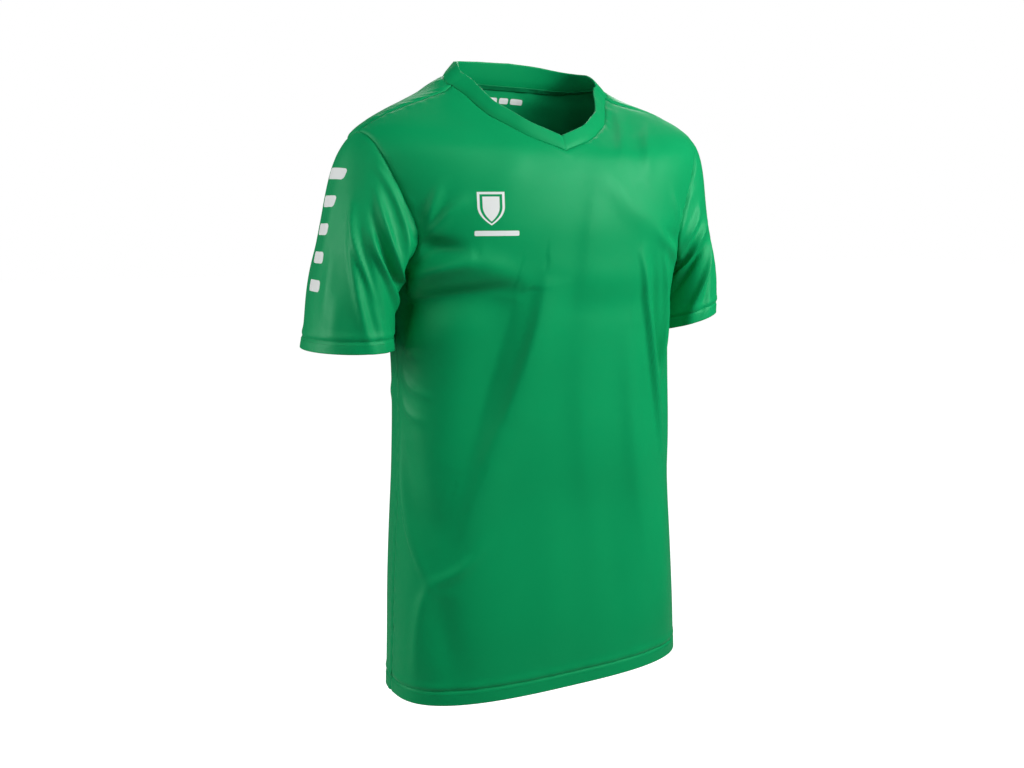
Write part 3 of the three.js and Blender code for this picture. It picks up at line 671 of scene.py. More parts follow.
def hemProfile(grid):
    # Doubled cloth up to the hem's stitch line, a groove at the line and a soft ridge above it
    up = grid["flat"][..., 1]
    fromHem = up[-1:] - up if grid["hemLast"] else up
    line = hemLine["sleeve" if grid["hemLast"] else "body"]
    ply = hemLine["ply"] * (1 - ease((fromHem - line + 1) / 2))
    groove = hemLine["groove"] * bump(fromHem - line, hemLine["width"])
    ridge = hemLine["ridge"] * bump(fromHem - line - 5, 3.4)
    across = grid["flat"][..., 0]
    wave = (np.sin(across / 5.1 + 1.8 * np.sin(across / 37)) + 0.7 * np.sin(across / 8.7 + 2))
    return ply - groove + ridge + hemLine["wave"] * wave * bump(fromHem - line - 3, 6)


hang = {"x": 88, "reach": 50, "drop": 8, "from": -115, "over": 80}


def settle(points):
    # The left shoulder hangs a little lower beside the neck, fading out down the chest and back
    beside = bump(points[..., 0] - hang["x"], hang["reach"])
    share = beside * ease((points[..., 2] - hang["from"]) / hang["over"])
    return points - hang["drop"] * share[..., None] * np.array([0, 0, 1])


def dress(grid, folds):
    distance = seamDistance(grid)
    fade = 1 - bump(distance, skin["foldFade"])
    groove = skin["groove"] * bump(distance, skin["grooveWidth"])
    puff = skin["puff"] * bump(distance - 5, 3.2)
    lift = foldLift(folds, grid["flat"]) * fade + seamPucker(grid, distance) + hemProfile(grid)
    height = skin["wall"] / 2 + lift - groove + puff
    grid["skin"] = settle(grid["points"] + grid["normals"] * height[..., None])
    grid["seamDistance"] = distance


hemFold = {"radius": 0.9, "pressed": 1.4, "arcSteps": 6}


def turnHem(grid, heights, width):
    # The cloth turns inward round the hem's edge and runs back up inside to the hem's width
    points, flat = grid["skin"], grid["flat"]
    if grid["hemLast"]:
        points, flat = points[::-1], flat[::-1]
    mesh = {"points": points, "closed": grid["closed"]}
    normals = surfaceNormals(mesh)
    if grid["closed"]:
        inward = points.mean(axis=1, keepdims=True) - points
        if (inward * normals).sum() > 0:
            normals = -normals
    radius = hemFold["radius"]
    up = unit(points[3] - points[0])
    normal = unit(normals[2])
    centre = points[0] + radius * (up - normal)
    turn = np.linspace(math.pi, 0, hemFold["arcSteps"])[:, None, None]
    arc = centre + radius * (np.cos(turn) * normal - np.sin(turn) * up)
    inside = np.concatenate([heights[heights < width], [width]])
    rows = np.interp(inside, np.concatenate([[0], heights]), np.arange(len(heights) + 1))
    low = rows.astype(int)
    share = (rows - low)[:, None, None]
    spot = mix(points[low], points[low + 1], share)
    out = unit(mix(normals[low], normals[low + 1], share))
    offset = mix(2 * radius, hemFold["pressed"], ease((inside - 2) / (width - 4)))[:, None, None]
    inner = (spot - out * offset)[::-1]
    grid["skin"] = np.concatenate([inner, arc, points[1:]])
    innerFlat = np.stack([flat[low, :, 0], -inside[:, None] + 0 * flat[low, :, 0]], axis=-1)[::-1]
    arcFlat = np.stack([flat[0, :, 0] + 0 * turn[..., 0],
                        np.linspace(-1.6, 1.2, len(turn))[:, None] + 0 * flat[0, :, 0]], axis=-1)
    outerFlat = flat[1:].copy()
    if grid["hemLast"]:
        outerFlat[..., 1] = flat[0, :, 1] - flat[1:, :, 1]
    grid["uv"] = np.concatenate([innerFlat, arcFlat, outerFlat])
    grid["turned"] = len(inside) + len(turn)


def makeCollarGrid():
    # The band's middle surface on the neckline's own points: across from the V round and back
    rows = np.linspace(0, 1, 9)
    front, back = neckPath(halves["front"])[::-1], neckPath(halves["back"])[1:]
    frontAt, backAt = 1 - neckShares[::-1], 1 + backNeckShares[1:]
    at = np.concatenate([frontAt, backAt])
    place = np.interp(at, collarShape["at"], np.arange(len(collarShape["at"])))
    sides = []
    for side in (1, -1):
        start = np.concatenate([
            bodyPoint(halves["front"], side * front[:, 0], front[:, 1]),
            bodyPoint(halves["back"], side * back[:, 0], back[:, 1])])
        reach = np.stack([-side * smoothRow(collarShape["inward"], place),
                          smoothRow(collarShape["backward"], place),
                          smoothRow(collarShape["upward"], place)], axis=-1)
        sides.append(start[None] + rows[:, None, None] * reach[None])
    points = np.concatenate([sides[0], sides[1][:, -2:0:-1]], axis=1)
    return {"points": points, "closed": True}


collarShape = table(
    ("at", "inward", "backward", "upward"),
    [
        (0, 0, 10, 16),
        (0.25, 4.5, 7, 16),
        (0.5, 9, 3.5, 14.5),
        (0.75, 12.5, 0.5, 12.5),
        (1, 16.5, -1.5, 12),
        (1.2, 15, -4, 15.5),
        (1.45, 9.5, -6, 20.5),
        (1.7, 4.5, -7.5, 24.5),
        (2, 0, -8, 26.5),
    ],
)
grids["collar"] = makeCollarGrid()
grids["collar"]["normals"] = surfaceNormals(grids["collar"])
shareSeams(list(grids.values()))
for name, folds in (("front", frontFolds), ("back", backFolds), ("right", rightFolds),
                    ("left", leftFolds)):
    grids[name]["hemLast"] = grids[name]["closed"]
    dress(grids[name], folds)
    if grids[name]["closed"]:
        turnHem(grids[name], sleeveHemHeights, hemLine["sleeveTurn"])
    else:
        turnHem(grids[name], bodyHemHeights, hemLine["bodyTurn"])
    print("jersey:", name, "skin dressed and its hem turned")


# Meshes


def addMesh(name, points, faces, uv=None):
    mesh = bpy.data.meshes.new(name)
    mesh.from_pydata((np.asarray(points) * 0.001).tolist(), [], [list(face) for face in faces])
    if uv is not None:
        layer = mesh.uv_layers.new(name="flat")
        layer.data.foreach_set("uv", (np.asarray(uv) * 0.001).astype(np.float32).ravel())
    mesh.polygons.foreach_set("use_smooth", np.ones(len(mesh.polygons), bool))
    mesh.update()
    piece = bpy.data.objects.new(name, mesh)
    bpy.context.scene.collection.objects.link(piece)
    return piece


def gridFaces(rows, columns, closedColumns, closedRows):
    # Four-sided cells of a grid, as point numbers, and the same cells on an unwrapped grid
    j = np.arange(rows if closedRows else rows - 1)[:, None]
    i = np.arange(columns if closedColumns else columns - 1)[None]

    def number(row, column, width):
        return row * width + column

    faces = np.stack([
        number(j, i, columns),
        number(j, (i + 1) % columns, columns),
        number((j + 1) % rows, (i + 1) % columns, columns),
        number((j + 1) % rows, i, columns)], axis=-1).reshape(-1, 4)
    wide = columns + 1
    unwrapped = np.stack([
        number(j, i, wide), number(j, i + 1, wide),
        number(j + 1, i + 1, wide), number(j + 1, i, wide)], axis=-1).reshape(-1, 4)
    return faces, unwrapped


def addGrid(name, points, flat, closedColumns, closedRows=False, turnOver=False):
    rows, columns = points.shape[:2]
    faces, unwrapped = gridFaces(rows, columns, closedColumns, closedRows)
    wide = np.concatenate([flat, flat[:, :1]], axis=1)
    if closedColumns:
        wide[:, -1, 0] = flat[:, 0, 0] + 2 * flat[:, -1, 0] - flat[:, -2, 0]
    if closedRows:
        wide = np.concatenate([wide, wide[-1:] + (wide[-1:] - wide[-2:-1])], axis=0)
    if turnOver:
        faces, unwrapped = faces[:, ::-1], unwrapped[:, ::-1]
    return addMesh(name, points.reshape(-1, 3), faces, wide.reshape(-1, 2)[unwrapped.ravel()])


def facesInward(points, closed, middle):
    # True when a grid's own cell order points its faces towards the middle
    step = np.roll(points, -1, axis=1) - points if closed else np.gradient(points, axis=1)
    normals = np.cross(step, np.gradient(points, axis=0))
    return ((points - middle) * normals).sum() < 0


def thicken(piece):
    # The cloth's thickness, inward from its outer face, with the inside's own material
    solidify = piece.modifiers.new("cloth", "SOLIDIFY")
    solidify.thickness = skin["cloth"] * 0.001
    solidify.offset = -1
    solidify.material_offset = 1
    return piece


def addCloth(name, grid):
    points = grid["skin"]
    turned = grid["turned"]
    outer = points[turned:]
    middle = outer.mean(axis=1, keepdims=True)
    if not grid["closed"]:
        middle[..., :2] = 0
    over = facesInward(outer, grid["closed"], middle)
    piece = addGrid(name, points, grid["uv"], grid["closed"], turnOver=over)
    return thicken(piece)


cloths = {
    "front": addCloth("frontPanelCloth", grids["front"]),
    "back": addCloth("backPanelCloth", grids["back"]),
    "right": addCloth("sleeveRightCloth", grids["right"]),
    "left": addCloth("sleeveLeftCloth", grids["left"]),
}

band = {
    "half": 1.15, "pinch": 0.6, "pinchReach": 0.16, "tucked": 0.9, "puff": 0.3, "innerPuff": 0.2,
    "arcSteps": 6, "mitreDepth": 0.5, "mitreWidth": 0.9,
}


def addCollarBand(grid):
    # A flat loop of cloth folded over at the top: outer face, round top edge, inner face
    points, normals = grid["points"], grid["normals"]
    if ((points - points.mean(axis=1, keepdims=True)) * normals).sum() < 0:
        normals = -normals
    rise = points[-1] - points[0]
    height = np.linalg.norm(rise, axis=1, keepdims=True)
    up = rise / height
    normals = unit(normals - (normals * up[None]).sum(-1, keepdims=True) * up[None])
    seam = points[0]
    fromV = runLengths(np.concatenate([seam, seam[:1]]))
    fromV = np.minimum(fromV[:-1], fromV[-1] - fromV[:-1])
    mitre = band["mitreDepth"] * bump(fromV, band["mitreWidth"])[:, None]
    half = band["half"]
    share = np.concatenate([[0, 0.05, 0.1], np.linspace(0.18, 0.92, 8)])

    def middle(distance):
        # Point and direction at a distance up the band
        t = np.clip(distance / height, 0, 1) * (len(points) - 1)
        low = np.minimum(t[:, 0].astype(int), len(points) - 2)
        k = np.arange(len(low))
        u = t - low[:, None]
        out = unit(mix(normals[low, k], normals[low + 1, k], u))
        return mix(points[low, k], points[low + 1, k], u), out

    def faceReach(t, puff):
        # From the middle to one face: pinched by the seam, a little full half way up
        pinched = half * (1 - band["pinch"] * bump(t, band["pinchReach"]))
        return pinched + puff * math.sin(math.pi * t) - mitre

    rows = []
    for t in share:
        spot, out = middle(height * t)
        rows.append(spot + out * faceReach(t, band["puff"]))
    spot, out = middle(height - half)
    for turn in np.linspace(0, math.pi, band["arcSteps"]):
        reach = (half - mitre) * math.cos(turn)
        rows.append(spot + out * reach + up * half * math.sin(turn))
    for t in share[::-1]:
        spot, out = middle(height * t)
        rows.append(spot - out * faceReach(t, band["innerPuff"]))
    rows[0], rows[-1] = rows[0] - up * band["tucked"], rows[-1] - up * band["tucked"]
    loop = settle(np.stack(rows))
    across = runLengths(np.concatenate([seam, seam[:1]]))[:-1]
    gaps = np.linalg.norm(np.diff(loop, axis=0), axis=-1).mean(axis=1)
    around = np.concatenate([[0], np.cumsum(gaps)])
    flat = np.stack([across[None] + 0 * around[:, None], around[:, None] + 0 * across[None]], axis=-1)
    outer = loop[:len(share)]
    over = facesInward(outer, True, outer.mean(axis=1, keepdims=True))
    piece = addGrid("collarBandCloth", loop, flat, True, turnOver=over)
    return thicken(piece)


cloths["collar"] = addCollarBand(grids["collar"])
print("jersey: collar band folded")


# Sewing: seam allowances held flat inside by their overlock thread, and rows of stitches

tape = {"places": np.array([-0.9, 0, 1.4, 2.8, 4.2, 5.6]), "sunk": 0.12, "thick": 0.9}
stitch = {"long": 2.3, "pitch": 3.1, "radius": 0.27, "proud": 0.08, "sides": 5}


def linesFrom(grid, edge, count=14):
    # Lines of skin points and their outward directions, running into the piece from one edge
    outer = grid["skin"][grid["turned"]:]
    normals = surfaceNormals({"points": outer, "closed": grid["closed"]})
    both = outer, normals
    if edge in ("top", "hem"):
        both = [np.swapaxes(values, 0, 1) for values in both]
    if edge in ("top", "left"):
        both = [values[:, ::-1] for values in both]
    return [values[:, :count] for values in both]


def alongLines(lines, distances):
    # Each line read in straight steps at set distances from its start, or before it
    points, normals = lines
    steps = np.linalg.norm(np.diff(points, axis=1), axis=-1)
    lengths = np.concatenate([0 * steps[:, :1], np.cumsum(steps, axis=1)], axis=1)
    low = (lengths[:, None] <= distances[None, :, None]).sum(axis=-1) - 1
    low = np.clip(low, 0, points.shape[1] - 2)
    k = np.arange(len(points))[:, None]
    share = ((distances[None] - lengths[k, low]) / steps[k, low])[..., None]
    out = mix(normals[k, low], normals[k, low + 1], np.clip(share, 0, 1))
    return mix(points[k, low], points[k, low + 1], share), unit(out)


def addTape(name, lines, closed=False):
    # Closed loop of section points under the seam, run along it, with its two ends closed
    row, out = alongLines(lines, tape["places"])
    deep = skin["cloth"] + tape["sunk"]
    section = np.concatenate([row - out * deep, (row - out * (deep + tape["thick"]))[:, ::-1]], axis=1)
    around = section.shape[1]
    along = runLengths(row[:, 1])
    across = np.concatenate([tape["places"], tape["places"][::-1]])
    flat = np.stack([along[:, None] + 0 * across, across + 0 * along[:, None]], axis=-1).reshape(-1, 2)
    middle = section.mean(axis=1, keepdims=True)
    over = facesInward(section, True, middle)
    faces, _ = gridFaces(len(section), around, True, closed)
    if over:
        faces = faces[:, ::-1]
    faces = faces.tolist()
    if not closed:
        first = list(range(around))
        last = [around * (len(section) - 1) + k for k in range(around)]
        faces += [first if over else first[::-1], last[::-1] if over else last]
    uv = flat[np.concatenate(faces).astype(int)]
    return addMesh(name, section.reshape(-1, 3), faces, uv)


def stitchShape():
    # A rounded rod of unit half length and radius: two tips and three rings
    sides = stitch["sides"]
    turn = 2 * np.pi * np.arange(sides) / sides
    rings = [np.stack([at + 0 * turn, wide * np.cos(turn), wide * np.sin(turn)], axis=-1)
             for at, wide in ((-0.74, 0.8), (0, 1), (0.74, 0.8))]
    shape = np.concatenate([[(-1, 0, 0)], *rings, [(1, 0, 0)]])
    tip = len(shape) - 1
    faces = []
    for k in range(sides):
        following = (k + 1) % sides
        faces.append([0, 1 + following, 1 + k])
        for ring in (1, 1 + sides):
            faces.append([ring + k, ring + following, ring + sides + following, ring + sides + k])
        faces.append([tip, 1 + 2 * sides + k, 1 + 2 * sides + following])
    return shape, faces


def addStitches(name, runs):
    # One small rounded rod a stitch, laid along each run of points and outward directions
    shape, pattern = stitchShape()
    stitches = []
    for line, out in runs:
        lengths = runLengths(line)
        count = int(lengths[-1] / stitch["pitch"])
        at = (np.arange(count) + 0.5) * lengths[-1] / count
        ends = [np.stack([np.interp(at + shift, lengths, line[:, k]) for k in range(3)], axis=-1)
                for shift in (-stitch["long"] / 2, stitch["long"] / 2)]
        outward = unit(np.stack([np.interp(at, lengths, out[:, k]) for k in range(3)], axis=-1))
        middle = (ends[0] + ends[1]) / 2 + stitch["proud"] * outward
        forward = (ends[1] - ends[0]) / 2
        side = unit(np.cross(outward, forward))
        rim = shape[:, 1:2] * side[:, None] + shape[:, 2:] * outward[:, None]
        stitches.append(middle[:, None] + shape[:, :1] * forward[:, None] + stitch["radius"] * rim)
    points = np.concatenate(stitches).reshape(-1, 3)
    starts = range(0, len(points), len(shape))
    return addMesh(name, points, [[start + k for k in face] for start in starts for face in pattern])


def rowAt(lines, distance):
    row, out = alongLines(lines, np.array([distance]))
    return row[:, 0], out[:, 0]


def keep(lines, picks):
    return [values[picks] for values in lines]


shoulderColumns = slice(0, fine["shoulderCells"] + 1)
neckColumns = slice(fine["shoulderCells"], -fine["shoulderCells"])
sewing = {}
for name, title in (("right", "Right"), ("left", "Left")):
    side = linesFrom(grids["back"], name)
    rows = len(side[0]) - fine["armholeCells"]
    sewing["sideSeam" + title] = addTape("sideSeam" + title, keep(side, slice(0, rows)))
    top = linesFrom(grids["back"], "top")
    if name == "left":
        top = keep(top, slice(None, None, -1))
    sewing["shoulderSeam" + title] = addTape("shoulderSeam" + title, keep(top, shoulderColumns))
    sewing["armholeSeam" + title] = addTape("armholeSeam" + title, linesFrom(grids[name], "top"),
                                            closed=True)
neckFront = keep(linesFrom(grids["front"], "top"), neckColumns)
neckBack = keep(linesFrom(grids["back"], "top"), neckColumns)
neckRound = [np.concatenate([front, back[::-1][1:-1]]) for front, back in zip(neckFront, neckBack)]
sewing["neckSeam"] = addTape("neckSeam", neckRound, closed=True)
twinRows = {"body": (13.0, 16.6), "sleeve": (10.0, 13.4), "neck": 2.6}
stitchTitles = {"front": "front", "back": "back", "right": "sleeveRight", "left": "sleeveLeft"}
for name, title in stitchTitles.items():
    grid = grids[name]
    kind = "sleeve" if grid["closed"] else "body"
    first = (sleeveHemHeights if grid["closed"] else bodyHemHeights)[0]
    hem = linesFrom(grid, "hem", 16)
    if grid["closed"]:
        hem = [np.concatenate([values, values[:1]]) for values in hem]
    runs = [rowAt(hem, height - first) for height in twinRows[kind]]
    if name == "front":
        runs.append(rowAt(neckFront, twinRows["neck"]))
    if name == "back":
        runs.append(rowAt(neckBack, twinRows["neck"]))
    sewing[title + "Stitches"] = addStitches(title + "Stitches", runs)
print("jersey: seams and stitches sewn,", len(sewing), "pieces")

# Shader node helpers


def newGroup(name, inputs, outputs):
    group = bpy.data.node_groups.new(name, "ShaderNodeTree")
    for label, kind, value in inputs:
        socket = group.interface.new_socket(label, in_out="INPUT", socket_type=kind)
        if value is not None:
            socket.default_value = value
    for label, kind in outputs:
        group.interface.new_socket(label, in_out="OUTPUT", socket_type=kind)
    return group, group.nodes.new("NodeGroupInput"), group.nodes.new("NodeGroupOutput")


def wire(tree, value, socket):
    if hasattr(value, "node"):
        tree.links.new(value, socket)
    else:
        socket.default_value = value


def calc(tree, operation, *values, clamp=False):
    node = tree.nodes.new("ShaderNodeMath")
    node.operation = operation
    node.use_clamp = clamp
    for k, value in enumerate(values):
        wire(tree, value, node.inputs[k])
    return node.outputs[0]


def useGroup(tree, group, **values):
    node = tree.nodes.new("ShaderNodeGroup")
    node.node_tree = group
    for label, value in values.items():
        wire(tree, value, node.inputs[label])
    return node


def splitVector(tree, vector):
    node = tree.nodes.new("ShaderNodeSeparateXYZ")
    tree.links.new(vector, node.inputs[0])
    return node.outputs[0], node.outputs[1]


def mixColour(tree, share, first, second):
    node = tree.nodes.new("ShaderNodeMix")
    node.data_type = "RGBA"
    wire(tree, share, node.inputs[0])
    wire(tree, first, node.inputs[6])
    wire(tree, second, node.inputs[7])
    return node.outputs[2]


def makeKnitLoops():
    # Columns of stitches: each column holds two slanted legs that meet in a V, course on course.
    # Besides the height it gives painted shade: a colour factor darker in the hollows between loops, a
    # little lighter on their crests
    group, source, result = newGroup(
        "knitLoops",
        [("Place", "NodeSocketVector", None), ("Wale", "NodeSocketFloat", 0.0009),
         ("Course", "NodeSocketFloat", 0.0007)],
        [("Height", "NodeSocketFloat"), ("PaintedShade", "NodeSocketFloat")])
    across, up = splitVector(group, source.outputs["Place"])
    wale = calc(group, "DIVIDE", across, source.outputs["Wale"])
    course = calc(group, "DIVIDE", up, source.outputs["Course"])
    fromMiddle = calc(group, "MULTIPLY", calc(group, "ABSOLUTE", calc(
        group, "SUBTRACT", calc(group, "FRACT", wale), 0.5)), 2.0)
    slanted = calc(group, "SUBTRACT", course, calc(group, "MULTIPLY", fromMiddle, 0.7))
    leg = calc(group, "SINE", calc(group, "MULTIPLY", slanted, 2 * math.pi))
    leg = calc(group, "MULTIPLY_ADD", leg, 0.5, 0.5)
    valley = calc(group, "POWER", fromMiddle, 5.0)
    ridge = calc(group, "SUBTRACT", 1.0, valley)
    middle = calc(group, "MULTIPLY_ADD", calc(group, "MINIMUM", calc(
        group, "MULTIPLY", fromMiddle, 3.0), 1.0), 0.35, 0.65)
    height = calc(group, "MULTIPLY", calc(group, "MULTIPLY", calc(
        group, "MULTIPLY_ADD", leg, 0.6, 0.4), ridge), middle)
    group.links.new(height, result.inputs["Height"])
    # Painted shade: the colour factor runs from 0.9 in the hollows between loops to 1.06 on their
    # crests, a faint painted highlight there
    group.links.new(calc(group, "MULTIPLY_ADD", height, 0.16, 0.9), result.inputs["PaintedShade"])
    return group


def makeClothTone():
    # Slow uneven tone over the cloth, from two sizes of noise on the object's own place
    group, source, result = newGroup(
        "clothTone",
        [("Broad", "NodeSocketFloat", 5.0), ("Small", "NodeSocketFloat", 60.0)],
        [("Tone", "NodeSocketFloat"), ("Grain", "NodeSocketFloat")])
    place = group.nodes.new("ShaderNodeTexCoord")
    for label, size, detail in (("Tone", "Broad", 2.0), ("Grain", "Small", 3.0)):
        noise = group.nodes.new("ShaderNodeTexNoise")
        noise.inputs["Detail"].default_value = detail
        group.links.new(place.outputs["Object"], noise.inputs["Vector"])
        group.links.new(source.outputs[size], noise.inputs["Scale"])
        group.links.new(noise.outputs["Fac"], result.inputs[label])
    return group


def makeRoundedBar():
    # 1 inside a bar with round corners, 0 outside: distance to the bar's core less its corner
    group, source, result = newGroup(
        "roundedBar",
        [("X", "NodeSocketFloat", 0.0), ("Y", "NodeSocketFloat", 0.0),
         ("HalfWidth", "NodeSocketFloat", 0.01), ("HalfHeight", "NodeSocketFloat", 0.003),
         ("Corner", "NodeSocketFloat", 0.001)],
        [("Mask", "NodeSocketFloat")])
    sides = []
    for place, half in (("X", "HalfWidth"), ("Y", "HalfHeight")):
        core = calc(group, "SUBTRACT", source.outputs[half], source.outputs["Corner"])
        past = calc(group, "SUBTRACT", calc(group, "ABSOLUTE", source.outputs[place]), core)
        sides.append(calc(group, "POWER", calc(group, "MAXIMUM", past, 0.0), 2.0))
    distance = calc(group, "SQRT", calc(group, "ADD", *sides))
    inside = calc(group, "SUBTRACT", source.outputs["Corner"], distance)
    mask = calc(group, "MULTIPLY_ADD", inside, 5000.0, 0.5, clamp=True)
    group.links.new(mask, result.inputs["Mask"])
    return group


def makeShield():
    # 1 on a plain crest: a frame and a smaller field, each with straight top and bowed sides
    group, source, result = newGroup(
        "plainShield",
        [("X", "NodeSocketFloat", 0.0), ("Y", "NodeSocketFloat", 0.0),
         ("Size", "NodeSocketFloat", 0.034)],
        [("Mask", "NodeSocketFloat")])
    x = calc(group, "ABSOLUTE", calc(group, "DIVIDE", source.outputs["X"], source.outputs["Size"]))
    y = calc(group, "DIVIDE", source.outputs["Y"], source.outputs["Size"])
    below = calc(group, "MINIMUM", calc(group, "SUBTRACT", y, 0.05), 0.0)
    bow = calc(group, "POWER", calc(group, "ABSOLUTE", calc(group, "DIVIDE", below, 0.58)), 2.2)
    spread = calc(group, "ADD", calc(group, "DIVIDE", x, 0.43), bow)

    def field(edge, topEdge):
        side = calc(group, "MULTIPLY", calc(group, "SUBTRACT", edge, spread), 45.0, clamp=True)
        top = calc(group, "MULTIPLY", calc(group, "SUBTRACT", topEdge, y), 90.0, clamp=True)
        return calc(group, "MULTIPLY", side, top)

    frameMask = calc(group, "SUBTRACT", field(1.0, 0.47), field(0.82, 0.40))
    mask = calc(group, "MAXIMUM", frameMask, field(0.62, 0.33))
    group.links.new(mask, result.inputs["Mask"])
    return group


knitLoops, clothTone = makeKnitLoops(), makeClothTone()
roundedBar, plainShield = makeRoundedBar(), makeShield()

# Finishes

knitFinish = {
    "face": (0.0020, 0.345, 0.112), "faceDark": (0.0016, 0.312, 0.100),
    "inside": (0.0020, 0.345, 0.114), "insideDark": (0.0016, 0.31, 0.102),
    "print": (0.86, 0.88, 0.87), "roughness": 0.43, "insideRoughness": 0.6,
    "sheen": 0.04, "sheenTint": (0.2, 0.95, 0.5, 1), "specularTint": (0.4, 1.0, 0.65, 1),
    "loopDepth": 0.00012,
}


def newMaterial(name):
    made = bpy.data.materials.new(name)
    made.use_nodes = True
    return made, made.node_tree, made.node_tree.nodes["Principled BSDF"]


def flatMeasures(tree):
    # Place on the piece's own flat cloth, in metres
    uv = tree.nodes.new("ShaderNodeUVMap")
    uv.uv_map = "flat"
    return uv.outputs[0]


def addBump(tree, shader, height, strength, distance):
    raised = tree.nodes.new("ShaderNodeBump")
    raised.inputs["Strength"].default_value = strength
    raised.inputs["Distance"].default_value = distance
    tree.links.new(height, raised.inputs["Height"])
    tree.links.new(raised.outputs[0], shader.inputs["Normal"])


def clothMaterial(name, isInside=False, marks=None, wale=0.0009, course=0.0007):
    # Knit with loops, uneven tone, painted shade in the loops' hollows and, where marks gives a mask,
    # white print over it
    made, tree, shader = newMaterial(name)
    shader.inputs["Sheen Weight"].default_value = knitFinish["sheen"] * (0.5 if isInside else 1)
    shader.inputs["Sheen Roughness"].default_value = 0.4
    shader.inputs["Sheen Tint"].default_value = knitFinish["sheenTint"]
    shader.inputs["Specular IOR Level"].default_value = 0.15 if isInside else 0.23
    shader.inputs["Specular Tint"].default_value = knitFinish["specularTint"]
    place = flatMeasures(tree)
    loops = useGroup(tree, knitLoops, Place=place, Wale=wale, Course=course)
    tone = useGroup(tree, clothTone, Broad=6.0, Small=90.0)
    key = "inside" if isInside else "face"
    toneShare = calc(tree, "MULTIPLY_ADD", tone.outputs["Tone"], 2.4, -0.7, clamp=True)
    colour = mixColour(tree, toneShare, (*knitFinish[key + "Dark"], 1), (*knitFinish[key], 1))
    # The base colour is darkened in the knit's hollows by the loops' painted shade
    paintedLoopShade = tree.nodes.new("ShaderNodeVectorMath")
    paintedLoopShade.operation = "SCALE"
    tree.links.new(colour, paintedLoopShade.inputs[0])
    tree.links.new(loops.outputs["PaintedShade"], paintedLoopShade.inputs["Scale"])
    colour = paintedLoopShade.outputs[0]
    roughness = knitFinish["insideRoughness" if isInside else "roughness"]
    rough = calc(tree, "MULTIPLY_ADD", tone.outputs["Grain"], 0.16, roughness - 0.08)
    height = loops.outputs["Height"]
    if marks is not None:
        mask = marks(tree, place)
        colour = mixColour(tree, mask, colour, (*knitFinish["print"], 1))
        rough = calc(tree, "MULTIPLY_ADD", mask, 0.12, rough)
        height = calc(tree, "MULTIPLY", height, calc(tree, "MULTIPLY_ADD", mask, -0.6, 1.0))
    addBump(tree, shader, height, 0.35, knitFinish["loopDepth"])
    tree.links.new(colour, shader.inputs["Base Color"])
    tree.links.new(rough, shader.inputs["Roughness"])
    return made


# The second thread colour is painted shade: the same thread, darker where the gaps between overlock
# loops fall
threadFinish = {
    "face": (0.0030, 0.33, 0.11), "paintedShade": (0.0012, 0.18, 0.06), "roughness": 0.55, "loop": 0.0016,
    "slant": 0.35, "loopDepth": 0.0003,
}


def threadMaterial(name, isWrapped=False):
    # Sewing thread, plain for the stitches, or in slanting loops over a seam allowance, darkened by
    # painted shade in the gaps between the loops
    made, tree, shader = newMaterial(name)
    shader.inputs["Roughness"].default_value = threadFinish["roughness"]
    shader.inputs["Specular IOR Level"].default_value = 0.25
    shader.inputs["Specular Tint"].default_value = knitFinish["specularTint"]
    shader.inputs["Base Color"].default_value = (*threadFinish["face"], 1)
    if not isWrapped:
        return made
    along, across = splitVector(tree, flatMeasures(tree))
    slant = calc(tree, "MULTIPLY_ADD", across, threadFinish["slant"], along)
    wave = calc(tree, "SINE", calc(tree, "MULTIPLY", slant, 2 * math.pi / threadFinish["loop"]))
    share = calc(tree, "MULTIPLY_ADD", wave, 0.5, 0.5)
    # Painted shade: the thread colour darkens into the gaps between its loops, following the loops'
    # bump
    colour = mixColour(tree, share, (*threadFinish["paintedShade"], 1), (*threadFinish["face"], 1))
    tree.links.new(colour, shader.inputs["Base Color"])
    addBump(tree, shader, share, 0.6, threadFinish["loopDepth"])
    return made


def barAt(tree, x, y, place, size, corner):
    # One printed bar at a place in metres on the flat cloth
    return useGroup(
        tree, roundedBar, X=calc(tree, "SUBTRACT", x, place[0]), Y=calc(tree, "SUBTRACT", y, place[1]),
        HalfWidth=size[0] / 2, HalfHeight=size[1] / 2, Corner=corner).outputs[0]


chestMark = {"crest": (-0.096, 0.560), "crestSize": 0.036, "bar": (-0.090, 0.5325),
             "barSize": (0.050, 0.0055), "corner": 0.0015}


def chestMarks(tree, place):
    x, y = splitVector(tree, place)
    crest = useGroup(
        tree, plainShield, X=calc(tree, "SUBTRACT", x, chestMark["crest"][0]),
        Y=calc(tree, "SUBTRACT", y, chestMark["crest"][1]), Size=chestMark["crestSize"]).outputs[0]
    bar = barAt(tree, x, y, chestMark["bar"], chestMark["barSize"], chestMark["corner"])
    return calc(tree, "MAXIMUM", crest, bar)


sleeveMark = {"first": 0.052, "step": 0.031, "count": 5, "barSize": (0.036, 0.0128), "corner": 0.004}


def sleeveMarks(girth, down):
    # Level bars down the top line of a sleeve, which is where the flat measure starts and ends
    def marks(tree, place):
        x, y = splitVector(tree, place)
        fromTop = calc(tree, "PINGPONG", x, girth * 0.0005)
        mask = 0.0
        for k in range(sleeveMark["count"]):
            height = down * 0.001 - sleeveMark["first"] - k * sleeveMark["step"]
            bar = barAt(tree, fromTop, y, (0, height), sleeveMark["barSize"], sleeveMark["corner"])
            mask = calc(tree, "MAXIMUM", mask, bar)
        return mask
    return marks


neckMark = {"up": 0.692, "bars": ((-0.017, 0.016), (0.0, 0.012), (0.017, 0.016)), "height": 0.007,
            "corner": 0.002}


def neckMarks(tree, place):
    x, y = splitVector(tree, place)
    mask = 0.0
    for across, width in neckMark["bars"]:
        size = (width, neckMark["height"])
        bar = barAt(tree, x, y, (across, neckMark["up"]), size, neckMark["corner"])
        mask = calc(tree, "MAXIMUM", mask, bar)
    return mask


